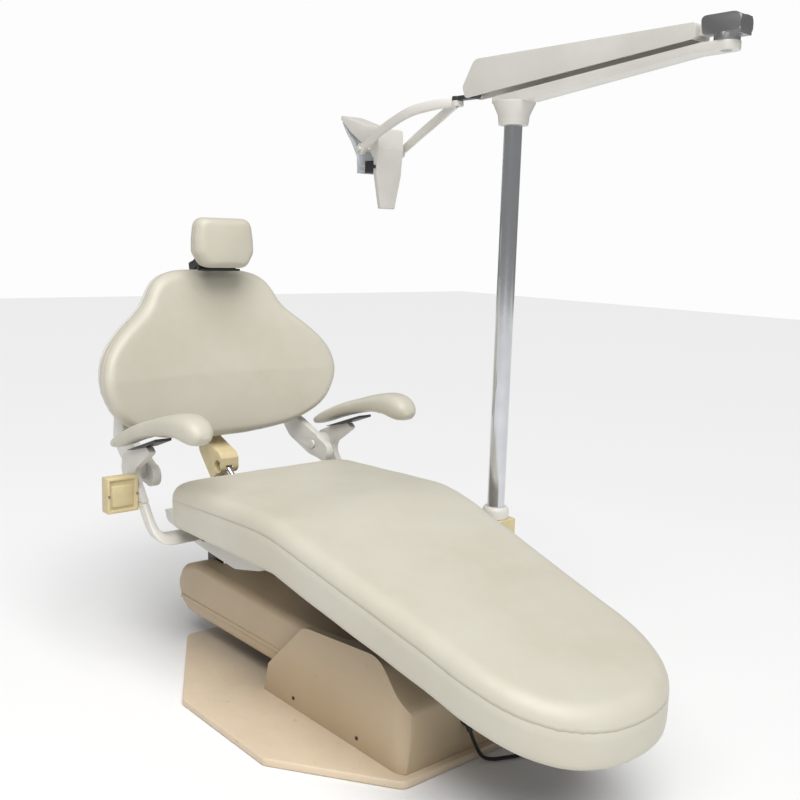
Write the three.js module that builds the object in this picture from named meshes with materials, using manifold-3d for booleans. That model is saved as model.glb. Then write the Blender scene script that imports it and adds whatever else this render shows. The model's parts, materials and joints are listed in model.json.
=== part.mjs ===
// A dental patient chair with a light on a post at the patient's left.
// Millimetres, +Z up. The origin is the middle of the base plate's underside,
// +X is the patient's left and +Y is behind the patient's head.
// The chair stands at its lowest height with its back raised.
import * as THREE from "three";
import { mergeVertices } from "three/addons/utils/BufferGeometryUtils.js";
import Module from "manifold-3d";

const wasm = await Module();
wasm.setup();

// ---------------------------------------------------------------- dimensions
const GAP = 0.3; // left between pieces that touch

const PLATE = {
  thickness: 18,
  halfWidth: 354,
  front: -467,
  frontHalf: 180,
  frontShoulder: -213,
  rear: 472,
  rearHalf: 156,
  rearShoulder: 135,
};
const FLOOR_OF_PUMP = PLATE.thickness + GAP;

const PUMP_COVER = { halfWidth: 173, wall: 3, cornerRadius: 42 };
const ARM_COVER = { halfWidth: 150, wall: 3 };

// The lift is a parallelogram: arm below, link above, seat frame behind.
const LIFT = {
  frontY: -230,
  rearY: 450,
  armZ: 110,
  linkZ: 182,
  armHalfWidth: 100,
  armEye: 28,
  linkEye: 17,
  linkHalfWidth: 60,
  pinRadius: 12,
  boreRadius: 12.5,
  plate: 8,
};
const LIFT_CYLINDER = {
  base: [-150, 55],
  eye: [300, 100],
  bodyRadius: 22,
  bodyLength: 330,
  boreStart: 190,
  rodStart: 200,
  rodRadius: 11,
};

const FRAME_TOP = 366;
const FRAME_HALF = 84;
const SEAT = {
  halfWidth: 283,
  footHalf: 236,
  rear: 352,
  knee: -105,
  tip: -905,
  bottom: 378,
  rearTop: 488,
  kneeTop: 506,
  tipTop: 300,
  tipBottom: 196,
};
const SEAT_PLATE = { thickness: 8, inset: 34 };

// The back turns on the two bosses of the arm uprights.
const BACK_HINGE = [480, 502];
const BACK_WRAP = 0.00039; // forward curl of the sides, mm per mm squared
const BACK = { cushion: 60, cushionTop: 45, shell: 8, layerGap: 2 };
const RECLINE_CYLINDER = {
  base: [360, 345],
  eye: [530, 462],
  bodyRadius: 16,
  bodyLength: 106,
  boreStart: 14,
  rodStart: 82,
  rodRadius: 8,
};

const SLING = { thickness: 18, width: 40, outer: 322, middle: 345, lean: 0.8, leanFrom: 345 };
const UPRIGHT = { inner: 304, boss: 32 };
const EAR = { inner: 262, outer: 284, eye: 34, pin: 12 };
const PAD = { inner: 268, outer: 356 };

const HEADREST = {
  lean: 12.6, // degrees back from upright
  barFoot: [658, 880],
  barWidth: 44,
  barThickness: 8,
  barLength: 146,
  pivot: [676, 1012],
  halfWidth: 90,
};

const POST = { x: 400, y: -137, radius: 22.2, bore: 19, foot: 352, top: 1384 };
const ELBOW_Y = -705;
const FLEX_PIVOT = [-680, 1540];
const NOSE_PIVOT = [-2, 1468];
const YOKE_Y = 62;
const HEAD_AXIS = [365, 1347];
const HEAD_HALF = 45;

const CORD = { radius: 4.25, sides: 8 };
const COIL = { x: 330, y: -480, inner: 33.7, outer: 59.3, height: 17 };

// ----------------------------------------------------------------- materials
function paint(color, roughness, metalness = 0) {
  return new THREE.MeshStandardMaterial({ color, roughness, metalness });
}
const upholstery = paint(0xcfcabb, 0.55);
const tanCover = paint(0xc6ad8a, 0.5);
const platePaint = paint(0xdbc9b0, 0.5);
const creamPaint = paint(0xe6e1d3, 0.4);
const creamPlastic = paint(0xe2ddcf, 0.45);
const blockPlastic = paint(0xe8d096, 0.5);
const steel = paint(0x8d8f92, 0.35, 1);
const chrome = paint(0xd4d6d8, 0.12, 1);
const darkSteel = paint(0x3c3d40, 0.5, 0.6);
const blackPlastic = paint(0x1d1d1f, 0.6);
const lampGlass = paint(0xd7dee8, 0.15);

// ------------------------------------------------------------- solid helpers
// A closed mesh as a manifold-3d solid.
function solid(geometry) {
  const bare = geometry.index ? geometry.toNonIndexed() : geometry.clone();
  for (const name of Object.keys(bare.attributes)) {
    if (name !== "position") bare.deleteAttribute(name);
  }
  const merged = mergeVertices(bare, 1e-3);
  return new wasm.Manifold(
    new wasm.Mesh({
      numProp: 3,
      vertProperties: merged.attributes.position.array,
      triVerts: new Uint32Array(merged.index.array),
    }),
  );
}

function geometryOf(body) {
  const mesh = body.getMesh();
  const geometry = new THREE.BufferGeometry();
  geometry.setAttribute("position", new THREE.BufferAttribute(mesh.vertProperties, 3));
  geometry.setIndex(new THREE.BufferAttribute(mesh.triVerts, 1));
  geometry.computeVertexNormals();
  return geometry;
}

function join(...parts) {
  return geometryOf(parts.map(solid).reduce((a, b) => a.add(b)));
}

function cut(base, ...tools) {
  return geometryOf([base, ...tools].map(solid).reduce((a, b) => a.subtract(b)));
}

function common(...parts) {
  return geometryOf(parts.map(solid).reduce((a, b) => a.intersect(b)));
}

// ------------------------------------------------------------- shape helpers
// The corners of an outline, each rounded by its own radius.
function rounded(points, radii, steps = 4) {
  const corners = points.map((p) => new THREE.Vector2(...p));
  const count = corners.length;
  const result = [];
  corners.forEach((corner, i) => {
    const radius = Array.isArray(radii) ? radii[i] : radii;
    if (!radius) {
      result.push(corner);
      return;
    }
    const before = corners[(i + count - 1) % count].clone().sub(corner);
    const after = corners[(i + 1) % count].clone().sub(corner);
    const half = Math.abs(before.angleTo(after)) / 2;
    const reach = Math.min(radius / Math.tan(half), before.length() * 0.49, after.length() * 0.49);
    const start = corner.clone().add(before.setLength(reach));
    const end = corner.clone().add(after.setLength(reach));
    const curve = new THREE.QuadraticBezierCurve(start, corner, end);
    result.push(...curve.getPoints(steps));
  });
  return result;
}

function circle(centre, radius, sides = 20) {
  return Array.from({ length: sides }, (_, i) => {
    const angle = (2 * Math.PI * i) / sides;
    return [centre[0] + radius * Math.cos(angle), centre[1] + radius * Math.sin(angle)];
  });
}

function mirrored(points) {
  return points.map(([x, y]) => [-x, y]);
}

function extrude(outline, depth) {
  const points = outline.map((p) => (Array.isArray(p) ? new THREE.Vector2(...p) : p));
  return new THREE.ExtrudeGeometry(new THREE.Shape(points), { depth, bevelEnabled: false });
}

// An outline of [y, z] points, extruded from one x to another.
function sidePrism(outline, x0, x1) {
  const turn = new THREE.Matrix4().set(0, 0, 1, x0, 1, 0, 0, 0, 0, 1, 0, 0, 0, 0, 0, 1);
  return extrude(outline, x1 - x0).applyMatrix4(turn);
}

// An outline of [x, y] points, extruded from one z to another.
function planPrism(outline, z0, z1) {
  return extrude(outline, z1 - z0).translate(0, 0, z0);
}

// An outline of [x, z] points, extruded from one y to another.
function frontPrism(outline, y0, y1) {
  return extrude(outline, y1 - y0).rotateX(Math.PI / 2).translate(0, y1, 0);
}

function block(x0, x1, y0, y1, z0, z1) {
  const geometry = new THREE.BoxGeometry(x1 - x0, y1 - y0, z1 - z0);
  return geometry.translate((x0 + x1) / 2, (y0 + y1) / 2, (z0 + z1) / 2);
}

// A straight round bar between two points.
function rod(from, to, radius, sides = 14) {
  const start = new THREE.Vector3(...from);
  const along = new THREE.Vector3(...to).sub(start);
  const geometry = new THREE.CylinderGeometry(radius, radius, along.length(), sides);
  geometry.translate(0, along.length() / 2, 0);
  const turn = new THREE.Quaternion().setFromUnitVectors(
    new THREE.Vector3(0, 1, 0),
    along.clone().normalize(),
  );
  return geometry.applyQuaternion(turn).translate(...from);
}

// A bar along x at a [y, z] point.
function crossBar([y, z], radius, x0, x1, sides = 14) {
  return rod([x0, y, z], [x1, y, z], radius, sides);
}

// A profile of [radius, height] points, turned about a vertical axis.
function turned(profile, x, y, sides = 20) {
  const points = profile.map((p) => new THREE.Vector2(...p));
  return new THREE.LatheGeometry(points, sides).rotateX(Math.PI / 2).translate(x, y, 0);
}

// A round or flat bar along a smooth curve.
function barAlong(points, section, steps) {
  const path = new THREE.CatmullRomCurve3(points.map((p) => new THREE.Vector3(...p)));
  const shape = new THREE.Shape(section.map((p) => new THREE.Vector2(...p)));
  return new THREE.ExtrudeGeometry(shape, { steps, extrudePath: path, bevelEnabled: false });
}

// The outline around two circles of different size.
function eyesOutline(a, radiusA, b, radiusB, steps = 8) {
  const dx = b[0] - a[0];
  const dy = b[1] - a[1];
  const heading = Math.atan2(dy, dx);
  const lean = Math.acos((radiusA - radiusB) / Math.hypot(dx, dy));
  const arc = (centre, radius, from, to) =>
    Array.from({ length: steps + 1 }, (_, i) => {
      const angle = from + ((to - from) * i) / steps;
      return [centre[0] + radius * Math.cos(angle), centre[1] + radius * Math.sin(angle)];
    });
  return [
    ...arc(a, radiusA, heading + lean, heading + 2 * Math.PI - lean),
    ...arc(b, radiusB, heading - lean, heading + lean),
  ];
}

function smoothOutline(points, divisions) {
  const curve = new THREE.SplineCurve([...points, points[0]].map((p) => new THREE.Vector2(...p)));
  return curve.getPoints(divisions).slice(0, -1);
}

// A value read off a list of [position, value] pairs by straight lines.
function along(table, position) {
  const last = table.length - 1;
  if (position <= table[0][0]) return table[0][1];
  if (position >= table[last][0]) return table[last][1];
  const i = table.findIndex(([p]) => p > position) - 1;
  const share = (position - table[i][0]) / (table[i + 1][0] - table[i][0]);
  return table[i][1] + share * (table[i + 1][1] - table[i][1]);
}

// ------------------------------------------------------------------ the part
const part = new THREE.Group();

function add(name, geometry, material) {
  const mesh = new THREE.Mesh(geometry, material);
  mesh.name = name;
  part.add(mesh);
}

// Adds a piece for the patient's left and its mirror for the right.
function addPair(name, make, material) {
  add(name + "_left", make(1), material);
  add(name + "_right", make(-1), material);
}

const sides = (side, inner, outer) => (side > 0 ? [inner, outer] : [-outer, -inner]);

// ---------------------------------------------------------------------- base
function plateOutline() {
  const right = [
    [PLATE.frontHalf, PLATE.front],
    [PLATE.halfWidth, PLATE.frontShoulder],
    [PLATE.halfWidth, PLATE.rearShoulder],
    [PLATE.rearHalf, PLATE.rear],
  ];
  return rounded([...right, ...mirrored(right).reverse()], 26, 3);
}

function baseFrame() {
  const cheek = { inner: 112, outer: 124, front: -305, rear: -178, top: 206 };
  const outline = [
    [-cheek.outer, cheek.front],
    [cheek.outer, cheek.front],
    [cheek.outer, cheek.rear],
    [cheek.inner, cheek.rear],
    [cheek.inner, cheek.front + 12],
    [-cheek.inner, cheek.front + 12],
    [-cheek.inner, cheek.rear],
    [-cheek.outer, cheek.rear],
  ];
  const bore = (z) => crossBar([LIFT.frontY, z], LIFT.boreRadius, -130, 130);
  return cut(planPrism(outline, FLOOR_OF_PUMP, cheek.top), bore(LIFT.armZ), bore(LIFT.linkZ));
}

// A folded cover, open below and behind, with a slot for the lift arm.
function pumpCover() {
  const { halfWidth, wall, cornerRadius } = PUMP_COVER;
  const outer = rounded(
    [
      [62, FLOOR_OF_PUMP],
      [46, 90],
      [-96, 227],
      [-367, 250],
      [-457, 152],
      [-449, FLOOR_OF_PUMP],
    ],
    [0, 14, 60, 70, 60, 0],
  );
  const inner = rounded(
    [
      [120, 0],
      [120, 224],
      [-98, 224],
      [-365, 247],
      [-454, 151],
      [-446, 0],
    ],
    [0, 0, 0, 68, 58, 0],
  );
  const plan = (half, front, radius) =>
    rounded(
      [
        [half, 140],
        [-half, 140],
        [-half, front],
        [half, front],
      ],
      [0, 0, radius, radius],
      6,
    );
  const shell = common(
    sidePrism(outer, -halfWidth, halfWidth),
    planPrism(plan(halfWidth, -457, cornerRadius), 0, 300),
  );
  const hollow = common(
    sidePrism(inner, -halfWidth + wall, halfWidth - wall),
    planPrism(plan(halfWidth - wall, -454, cornerRadius - wall), -10, 300),
  );
  const slot = block(-154, 154, -242, -60, 190, 270);
  const cordHole = rod([0, -430, 96], [0, -470, 96], 9, 16);
  return cut(shell, hollow, slot, cordHole);
}

function pumpMotor() {
  const barrel = crossBar([-372, 88], 56, -150, 10, 24);
  const nose = crossBar([-372, 88], 30, 9, 28, 20);
  const foot = block(-120, -20, -412, -332, FLOOR_OF_PUMP, 60);
  return join(barrel, nose, foot);
}

function addBase() {
  add("base_plate", planPrism(plateOutline(), 0, PLATE.thickness), platePaint);
  add("base_frame", baseFrame(), darkSteel);
  add("pump_cover", pumpCover(), tanCover);
  add("pump_motor", pumpMotor(), darkSteel);
  add("oil_reservoir", block(40, 160, -438, -318, FLOOR_OF_PUMP, 128), steel);
  add("control_box", block(-95, 95, -390, -305 - GAP, 150, 204), creamPlastic);
  const clevis = cut(
    join(
      block(-36, 36, -185, -118, FLOOR_OF_PUMP, 26),
      block(-36, -26, -176, -124, 24, 74),
      block(26, 36, -176, -124, 24, 74),
    ),
    crossBar(LIFT_CYLINDER.base, 8.4, -40, 40, 16),
  );
  add("cylinder_clevis", clevis, darkSteel);
  for (const [name, z] of [
    ["front_lower_pin", LIFT.armZ],
    ["front_upper_pin", LIFT.linkZ],
  ]) {
    add(name, crossBar([LIFT.frontY, z], LIFT.pinRadius, -130, 130), steel);
  }
}

// ---------------------------------------------------------------------- lift
function liftArm() {
  const { armHalfWidth: half, plate, frontY, rearY, armZ, armEye } = LIFT;
  const inner = half - plate;
  const top = armZ + armEye - plate;
  const outline = eyesOutline([frontY, armZ], armEye, [rearY, armZ], armEye);
  const [eyeY, eyeZ] = LIFT_CYLINDER.eye;
  const channel = cut(
    sidePrism(outline, -half, half),
    block(-inner, inner, frontY - 60, rearY + 60, 50, top),
    block(-inner, inner, 392, rearY + 60, 50, 200),
  );
  const lug = (x0) => block(x0, x0 + 8, eyeY - 30, eyeY + 30, 84, top + 2);
  const bore = (y) => crossBar([y, armZ], LIFT.boreRadius, -130, 130);
  const slack = crossBar([eyeY, eyeZ], 14, -60, 60);
  return cut(join(channel, lug(26), lug(-34)), bore(frontY), bore(rearY), slack);
}

function liftArmCover() {
  const { halfWidth, wall } = ARM_COVER;
  const outer = rounded(
    [
      [-205, 76],
      [-205, 214],
      [440, 229],
      [516, 203],
      [545, 150],
      [520, 98],
      [480, 76],
    ],
    [0, 8, 90, 50, 50, 40, 30],
  );
  const inner = rounded(
    [
      [-220, 50],
      [-220, 211],
      [440, 226],
      [513, 201],
      [541, 150],
      [517, 100],
      [478, 60],
      [478, 50],
    ],
    [0, 0, 88, 48, 48, 30, 0, 0],
  );
  return cut(
    sidePrism(outer, -halfWidth, halfWidth),
    sidePrism(inner, -halfWidth + wall, halfWidth - wall),
    block(-92, 92, 392, 560, 140, 260),
  );
}

function liftLink() {
  const { frontY, rearY, linkZ, linkEye, linkHalfWidth } = LIFT;
  const eye = (y) => crossBar([y, linkZ], linkEye, -linkHalfWidth, linkHalfWidth);
  const web = block(-linkHalfWidth, linkHalfWidth, frontY + 4, rearY - 4, linkZ - 8, linkZ + 8);
  const bore = (y) => crossBar([y, linkZ], LIFT.boreRadius, -70, 70);
  return cut(join(eye(frontY), eye(rearY), web), bore(frontY), bore(rearY));
}

// A hydraulic cylinder in the middle plane: the barrel with its eye on one
// piece, the rod with its own eye on the other.
function onLine({ base, eye }, distance) {
  const heading = Math.atan2(eye[1] - base[1], eye[0] - base[0]);
  return [0, base[0] + distance * Math.cos(heading), base[1] + distance * Math.sin(heading)];
}

function cylinderBody(spec, eyeHalf, pinHalf, pinRadius) {
  const { base, bodyRadius, bodyLength, boreStart, rodRadius } = spec;
  const barrel = rod(onLine(spec, bodyRadius * 0.6), onLine(spec, bodyLength), bodyRadius);
  const ring = crossBar(base, eyeHalf, -eyeHalf, eyeHalf);
  const pin = crossBar(base, pinRadius, -pinHalf, pinHalf, 12);
  const bore = rod(onLine(spec, boreStart), onLine(spec, bodyLength + 10), rodRadius + 1);
  return cut(join(barrel, ring, pin), bore);
}

function cylinderRod(spec, eyeRadius, eyeHalf, pinHalf, pinRadius) {
  const { base, eye, rodStart, rodRadius } = spec;
  const length = Math.hypot(eye[1] - base[1], eye[0] - base[0]);
  const bar = rod(onLine(spec, rodStart), onLine(spec, length), rodRadius, 12);
  const ring = crossBar(eye, eyeRadius, -eyeHalf, eyeHalf);
  return join(bar, ring, crossBar(eye, pinRadius, -pinHalf, pinHalf, 12));
}

function addLift() {
  add("lift_arm", liftArm(), darkSteel);
  add("lift_arm_cover", liftArmCover(), tanCover);
  add("lift_link", liftLink(), darkSteel);
  add("lift_cylinder", cylinderBody(LIFT_CYLINDER, 16, 38, 8), steel);
  add("lift_piston_rod", cylinderRod(LIFT_CYLINDER, 15, 15, 36, 8), chrome);
}

// -------------------------------------------------------------- seat carriage
function upperFrame() {
  const { rearY, armZ, linkZ, boreRadius } = LIFT;
  const inner = FRAME_HALF - LIFT.plate;
  const outline = rounded(
    [
      [418, 84],
      [482, 84],
      [486, 240],
      [520, 326],
      [520, FRAME_TOP],
      [-80, FRAME_TOP],
      [-80, 340],
      [300, 332],
      [386, 325],
      [412, 290],
      [414, 200],
    ],
    [28, 28, 30, 20, 0, 0, 0, 0, 20, 20, 0],
    3,
  );
  const bore = (z) => crossBar([rearY, z], boreRadius, -100, 100);
  return cut(
    sidePrism(outline, -FRAME_HALF, FRAME_HALF),
    block(-inner, inner, -140, 570, 50, FRAME_TOP - LIFT.plate),
    block(-24, 24, 335, 500, FRAME_TOP - 20, FRAME_TOP + 10),
    bore(armZ),
    bore(linkZ),
    crossBar(RECLINE_CYLINDER.base, 8.4, -100, 100, 12),
  );
}

function underSeatCover() {
  const half = 195;
  const wall = 3;
  const outer = rounded(
    [
      [521, FRAME_TOP],
      [508, 338],
      [333, 311],
      [163, 297],
      [52, 322],
      [-48, FRAME_TOP],
    ],
    [0, 24, 60, 60, 60, 0],
  );
  const inner = outer.map((p) => new THREE.Vector2(p.x * 0.99 + 1.5, p.y + wall));
  const windows = [1, -1].map((side) => {
    const [x0, x1] = sides(side, 180, 200);
    return block(x0, x1, 308, 382, 328, 400);
  });
  return cut(
    sidePrism(outer, -half, half),
    sidePrism(inner, -half + wall, half - wall),
    block(-88, 88, 384, 540, 280, 400),
    block(-88, 88, -80, 60, 326, 400),
    ...windows,
  );
}

// The seat and leg rest seen from above, drawn in by an inset.
function seatPlan(inset) {
  const half = SEAT.halfWidth - inset;
  const foot = SEAT.footHalf - inset;
  const rear = SEAT.rear - inset;
  const tip = SEAT.tip + inset * 2.4;
  const shape = new THREE.Shape();
  shape.moveTo(0, rear);
  shape.lineTo(half - 62, rear);
  shape.quadraticCurveTo(half, rear, half, rear - 62);
  shape.lineTo(half, -60);
  shape.bezierCurveTo(half, -220, foot + 14, -420, foot, -620);
  shape.bezierCurveTo(foot - 4, tip + 105, foot - 71, tip, 0, tip);
  const right = shape.getPoints(7).map((p) => [p.x, p.y]);
  return [...right, ...mirrored(right).reverse().slice(1, -1)];
}

function seatCushion() {
  const outline = rounded(
    [
      [SEAT.rear + 5, SEAT.bottom],
      [SEAT.rear + 5, SEAT.rearTop],
      [SEAT.knee, SEAT.kneeTop],
      [SEAT.tip + 12, SEAT.tipTop],
      [SEAT.tip + 44, SEAT.tipBottom],
      [-122, SEAT.bottom],
    ],
    [20, 34, 260, 40, 24, 0],
    6,
  );
  return common(
    sidePrism(outline, -SEAT.halfWidth - 10, SEAT.halfWidth + 10),
    planPrism(seatPlan(0), 100, 600),
  );
}

function seatPlate() {
  const under = SEAT.bottom - 1;
  const { thickness, inset } = SEAT_PLATE;
  const slope = (SEAT.bottom - SEAT.tipBottom) / (-122 - SEAT.tip - 44);
  const drop = slope * (-122 - SEAT.tip);
  const outline = [
    [SEAT.rear, under],
    [-122, under],
    [SEAT.tip, under - drop],
    [SEAT.tip, under - drop - thickness],
    [-124, under - thickness],
    [SEAT.rear, under - thickness],
  ];
  return common(
    sidePrism(outline, -SEAT.halfWidth, SEAT.halfWidth),
    planPrism(seatPlan(inset), 100, 600),
  );
}

// A flat bar from the frame out and up beside the seat, leaning rearwards.
function armSling(side) {
  const { thickness, width, outer, lean, leanFrom } = SLING;
  const floor = 332;
  const outline = rounded(
    [
      [FRAME_HALF + GAP, floor],
      [outer, floor],
      [outer, 430],
      [outer - thickness, 430],
      [outer - thickness, floor + thickness + 4],
      [FRAME_HALF + GAP, floor + thickness + 4],
    ],
    [0, 90, 0, 0, 72, 0],
    8,
  );
  const points = outline.map((p) => [p.x * side, p.y]);
  const geometry = frontPrism(points, SLING.middle - width / 2, SLING.middle + width / 2);
  const shear = new THREE.Matrix4().set(1, 0, 0, 0, 0, 1, lean, -lean * leanFrom, 0, 0, 1, 0, 0, 0, 0, 1);
  return geometry.applyMatrix4(shear);
}

function armUpright(side) {
  const plate = rounded(
    [
      [393.2, 430 + GAP],
      [432.8, 430 + GAP],
      [506, 476],
      [510, 532],
      [452, 556],
      [370, 578],
      [352, 566],
      [432, 512],
      [438, 486],
    ],
    [0, 0, 20, 20, 8, 10, 10, 24, 24],
    3,
  );
  const [x0, x1] = sides(side, UPRIGHT.inner, SLING.outer);
  const [b0, b1] = sides(side, EAR.outer + GAP, SLING.outer);
  const [p0, p1] = sides(side, EAR.inner - 6, SLING.outer);
  return join(
    sidePrism(plate, x0, x1),
    crossBar(BACK_HINGE, UPRIGHT.boss, b0, b1, 20),
    crossBar(BACK_HINGE, EAR.pin, p0, p1, 16),
  );
}

// The side line of a pad: bulbous in front, thin where it passes the hinge.
const PAD_TOP = [
  [108, 642],
  [126, 676],
  [168, 690],
  [230, 680],
  [290, 666],
  [380, 641],
  [430, 624],
  [475, 605],
  [512, 588],
  [538, 570],
];
const PAD_UNDER = [
  [544, 556],
  [526, 548],
  [494, 555],
  [450, 568],
  [380, 590],
  [320, 612],
  [260, 628],
  [190, 632],
  [140, 620],
  [114, 620],
];

function armPad(side) {
  const outline = smoothOutline([...PAD_TOP, ...PAD_UNDER], 44);
  const [x0, x1] = sides(side, PAD.inner, PAD.outer);
  const neck = PAD.inner + 23;
  const plan = rounded(
    [
      [PAD.inner, 96],
      [PAD.outer, 96],
      [PAD.outer, 568],
      [neck, 568],
      [neck, 486],
      [PAD.inner, 440],
    ],
    [40, 40, 50, 10, 20, 30],
    4,
  ).map((p) => [p.x * side, p.y]);
  return common(sidePrism(outline, x0, x1), planPrism(plan, 480, 720));
}

// The plate screwed under a pad, bent to the slope of the upright.
function padBracket(side) {
  const [x0, x1] = sides(side, UPRIGHT.inner - 14, SLING.outer + 12);
  const outline = [
    [300, 604],
    [300, 611],
    [376, 584.5],
    [452, 558],
    [452, 552],
    [460, 552],
    [460, 548],
  ];
  const under = [
    [452, 556.4],
    [372, 578.4],
  ];
  return sidePrism([outline[0], outline[1], outline[2], outline[3], ...under], x0, x1);
}

// The bracket behind one side of the back, with the eye it turns on. It runs
// under the lower edge of the cushion and up behind the shell.
function backEar(side) {
  const [x0, x1] = sides(side, EAR.inner, EAR.outer);
  const eye = crossBar(BACK_HINGE, EAR.eye, x0, x1, 24);
  const nose = crossBar([436, 488], 28, x0, x1, 20);
  const arm = rounded(
    [
      [430, 461],
      [500, 470],
      [600, 508],
      [642, 548],
      [632, 640],
      [582, 640],
      [582, 572],
      [556, 566],
      [478, 536],
      [432, 515],
    ],
    [0, 30, 40, 30, 10, 10, 12, 20, 0, 0],
    3,
  );
  const bore = crossBar(BACK_HINGE, EAR.pin + GAP, x0 - 5, x1 + 5, 16);
  return cut(join(eye, nose, sidePrism(arm, x0, x1)), bore);
}

function accessoryBlock() {
  const outer = block(-404, -SLING.outer - GAP, 415, 450, 408, 498);
  const recess = block(-397, -330, 405, 421, 415, 491);
  const plate = block(-391, -336, 417, 430, 423, 476);
  return join(cut(outer, recess), plate);
}

function addSeatCarriage() {
  add("upper_frame", upperFrame(), darkSteel);
  const span = LIFT.armHalfWidth + 6;
  add("rear_lower_pin", crossBar([LIFT.rearY, LIFT.armZ], LIFT.pinRadius, -span, span), steel);
  add("rear_upper_pin", crossBar([LIFT.rearY, LIFT.linkZ], LIFT.pinRadius, -88, 88), steel);
  add("under_seat_cover", underSeatCover(), creamPlastic);
  add("seat_plate", seatPlate(), darkSteel);
  add("seat_cushion", seatCushion(), upholstery);
  addPair("arm_sling", armSling, creamPaint);
  addPair("arm_upright", armUpright, creamPaint);
  addPair("arm_pad", armPad, upholstery);
  addPair("arm_pad_bracket", padBracket, darkSteel);
  add("accessory_block", accessoryBlock(), blockPlastic);
}

// ---------------------------------------------------------------------- back
const BACK_LINE = [
  [484, 534],
  [587, 534],
  [650, 538],
  [723, 545],
  [850, 571],
  [1000, 605],
];
const BACK_WIDTH = [
  [543, 62],
  [545, 92],
  [549, 130],
  [554, 166],
  [562, 206],
  [574, 242],
  [588, 272],
  [602, 296],
  [618, 317],
  [638, 334],
  [660, 346],
  [690, 358],
  [720, 362],
  [748, 359],
  [776, 350],
  [806, 331],
  [835, 303],
  [858, 276],
  [880, 247],
  [902, 222],
  [925, 205],
  [950, 191],
  [972, 174],
  [987, 153],
  [995, 132],
  [1001, 104],
  [1003, 70],
];

// A curved slab between two depths behind the back's front surface.
function backSlab(depthFront, depthBack, scale, columns = 10) {
  const rows = BACK_WIDTH.map(([z, half]) => ({ z: 742 + (z - 742) * scale, half: half * scale }));
  const positions = [];
  for (const depth of [depthFront, depthBack]) {
    for (const { z, half } of rows) {
      for (let j = 0; j <= columns; j++) {
        const x = half * (-1 + (2 * j) / columns);
        positions.push(x, along(BACK_LINE, z) - BACK_WRAP * x * x + depth(z), z);
      }
    }
  }
  const at = (layer, i, j) => (layer * rows.length + i) * (columns + 1) + j;
  const index = [];
  const quad = (a, b, c, d) => index.push(a, b, c, a, c, d);
  const top = rows.length - 1;
  for (let i = 0; i < top; i++) {
    for (let j = 0; j < columns; j++) {
      quad(at(0, i, j), at(0, i, j + 1), at(0, i + 1, j + 1), at(0, i + 1, j));
      quad(at(1, i, j + 1), at(1, i, j), at(1, i + 1, j), at(1, i + 1, j + 1));
    }
    quad(at(1, i, 0), at(0, i, 0), at(0, i + 1, 0), at(1, i + 1, 0));
    quad(at(0, i, columns), at(1, i, columns), at(1, i + 1, columns), at(0, i + 1, columns));
  }
  for (let j = 0; j < columns; j++) {
    quad(at(1, 0, j), at(1, 0, j + 1), at(0, 0, j + 1), at(0, 0, j));
    quad(at(0, top, j), at(0, top, j + 1), at(1, top, j + 1), at(1, top, j));
  }
  const geometry = new THREE.BufferGeometry();
  geometry.setAttribute("position", new THREE.Float32BufferAttribute(positions, 3));
  geometry.setIndex(index);
  geometry.computeVertexNormals();
  return geometry;
}

function cushionDepth(z) {
  return along(
    [
      [850, BACK.cushion],
      [1000, BACK.cushionTop],
    ],
    z,
  );
}

// A curved strap behind the shell, from ear to ear.
function backFrame() {
  const front = (z) => cushionDepth(z) + BACK.layerGap + BACK.shell + 2;
  const strap = backSlab(front, (z) => front(z) + 8, 0.985);
  const half = EAR.inner - GAP;
  return common(strap, block(-half, half, 400, 760, 606, 690));
}

// The bar down the middle that the recline cylinder pushes on.
function supportBar() {
  const half = 28;
  const rear = 606.2;
  const outline = rounded(
    [
      [541, 433],
      [566, 420],
      [632, 490],
      [640, 560],
      [640, 600],
      [rear, 600],
      [rear, 530],
      [522, 500],
      [510, 486],
      [510, 466],
    ],
    [10, 10, 30, 20, 6, 0, 8, 12, 6, 0],
    3,
  );
  const { eye } = RECLINE_CYLINDER;
  const lug = sidePrism(eyesOutline(eye, 21, [580, 466], 17), -half, half);
  const notch = sidePrism(
    [
      [480, 400],
      [562, 400],
      [562, 480],
      [516, 480],
      [516, 465.5],
      [480, 465.5],
    ],
    -12.6,
    12.6,
  );
  const slack = crossBar(eye, 16.5, -30, 30, 16);
  return cut(join(sidePrism(outline, -half, half), lug), notch, slack);
}

const shellFront = (z) => cushionDepth(z) + BACK.layerGap;
const shellBack = (z) => shellFront(z) + BACK.shell;

function addBack() {
  addPair("back_ear", backEar, creamPaint);
  add("back_frame", backFrame(), darkSteel);
  add("back_support_bar", supportBar(), blockPlastic);
  add("backrest_shell", backSlab(shellFront, shellBack, 0.985), creamPlastic);
  add("backrest_cushion", backSlab(() => 0, cushionDepth, 1), upholstery);
  add("recline_cylinder", cylinderBody(RECLINE_CYLINDER, 12, 82, 8), steel);
  add("recline_piston_rod", cylinderRod(RECLINE_CYLINDER, 11, 11.5, 19, 6), chrome);
}

// ------------------------------------------------------------------ headrest
// Places a shape drawn upright about the foot of the headrest bar.
function leaned(geometry) {
  return geometry
    .rotateX(THREE.MathUtils.degToRad(-HEADREST.lean))
    .translate(0, ...HEADREST.barFoot);
}

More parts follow.
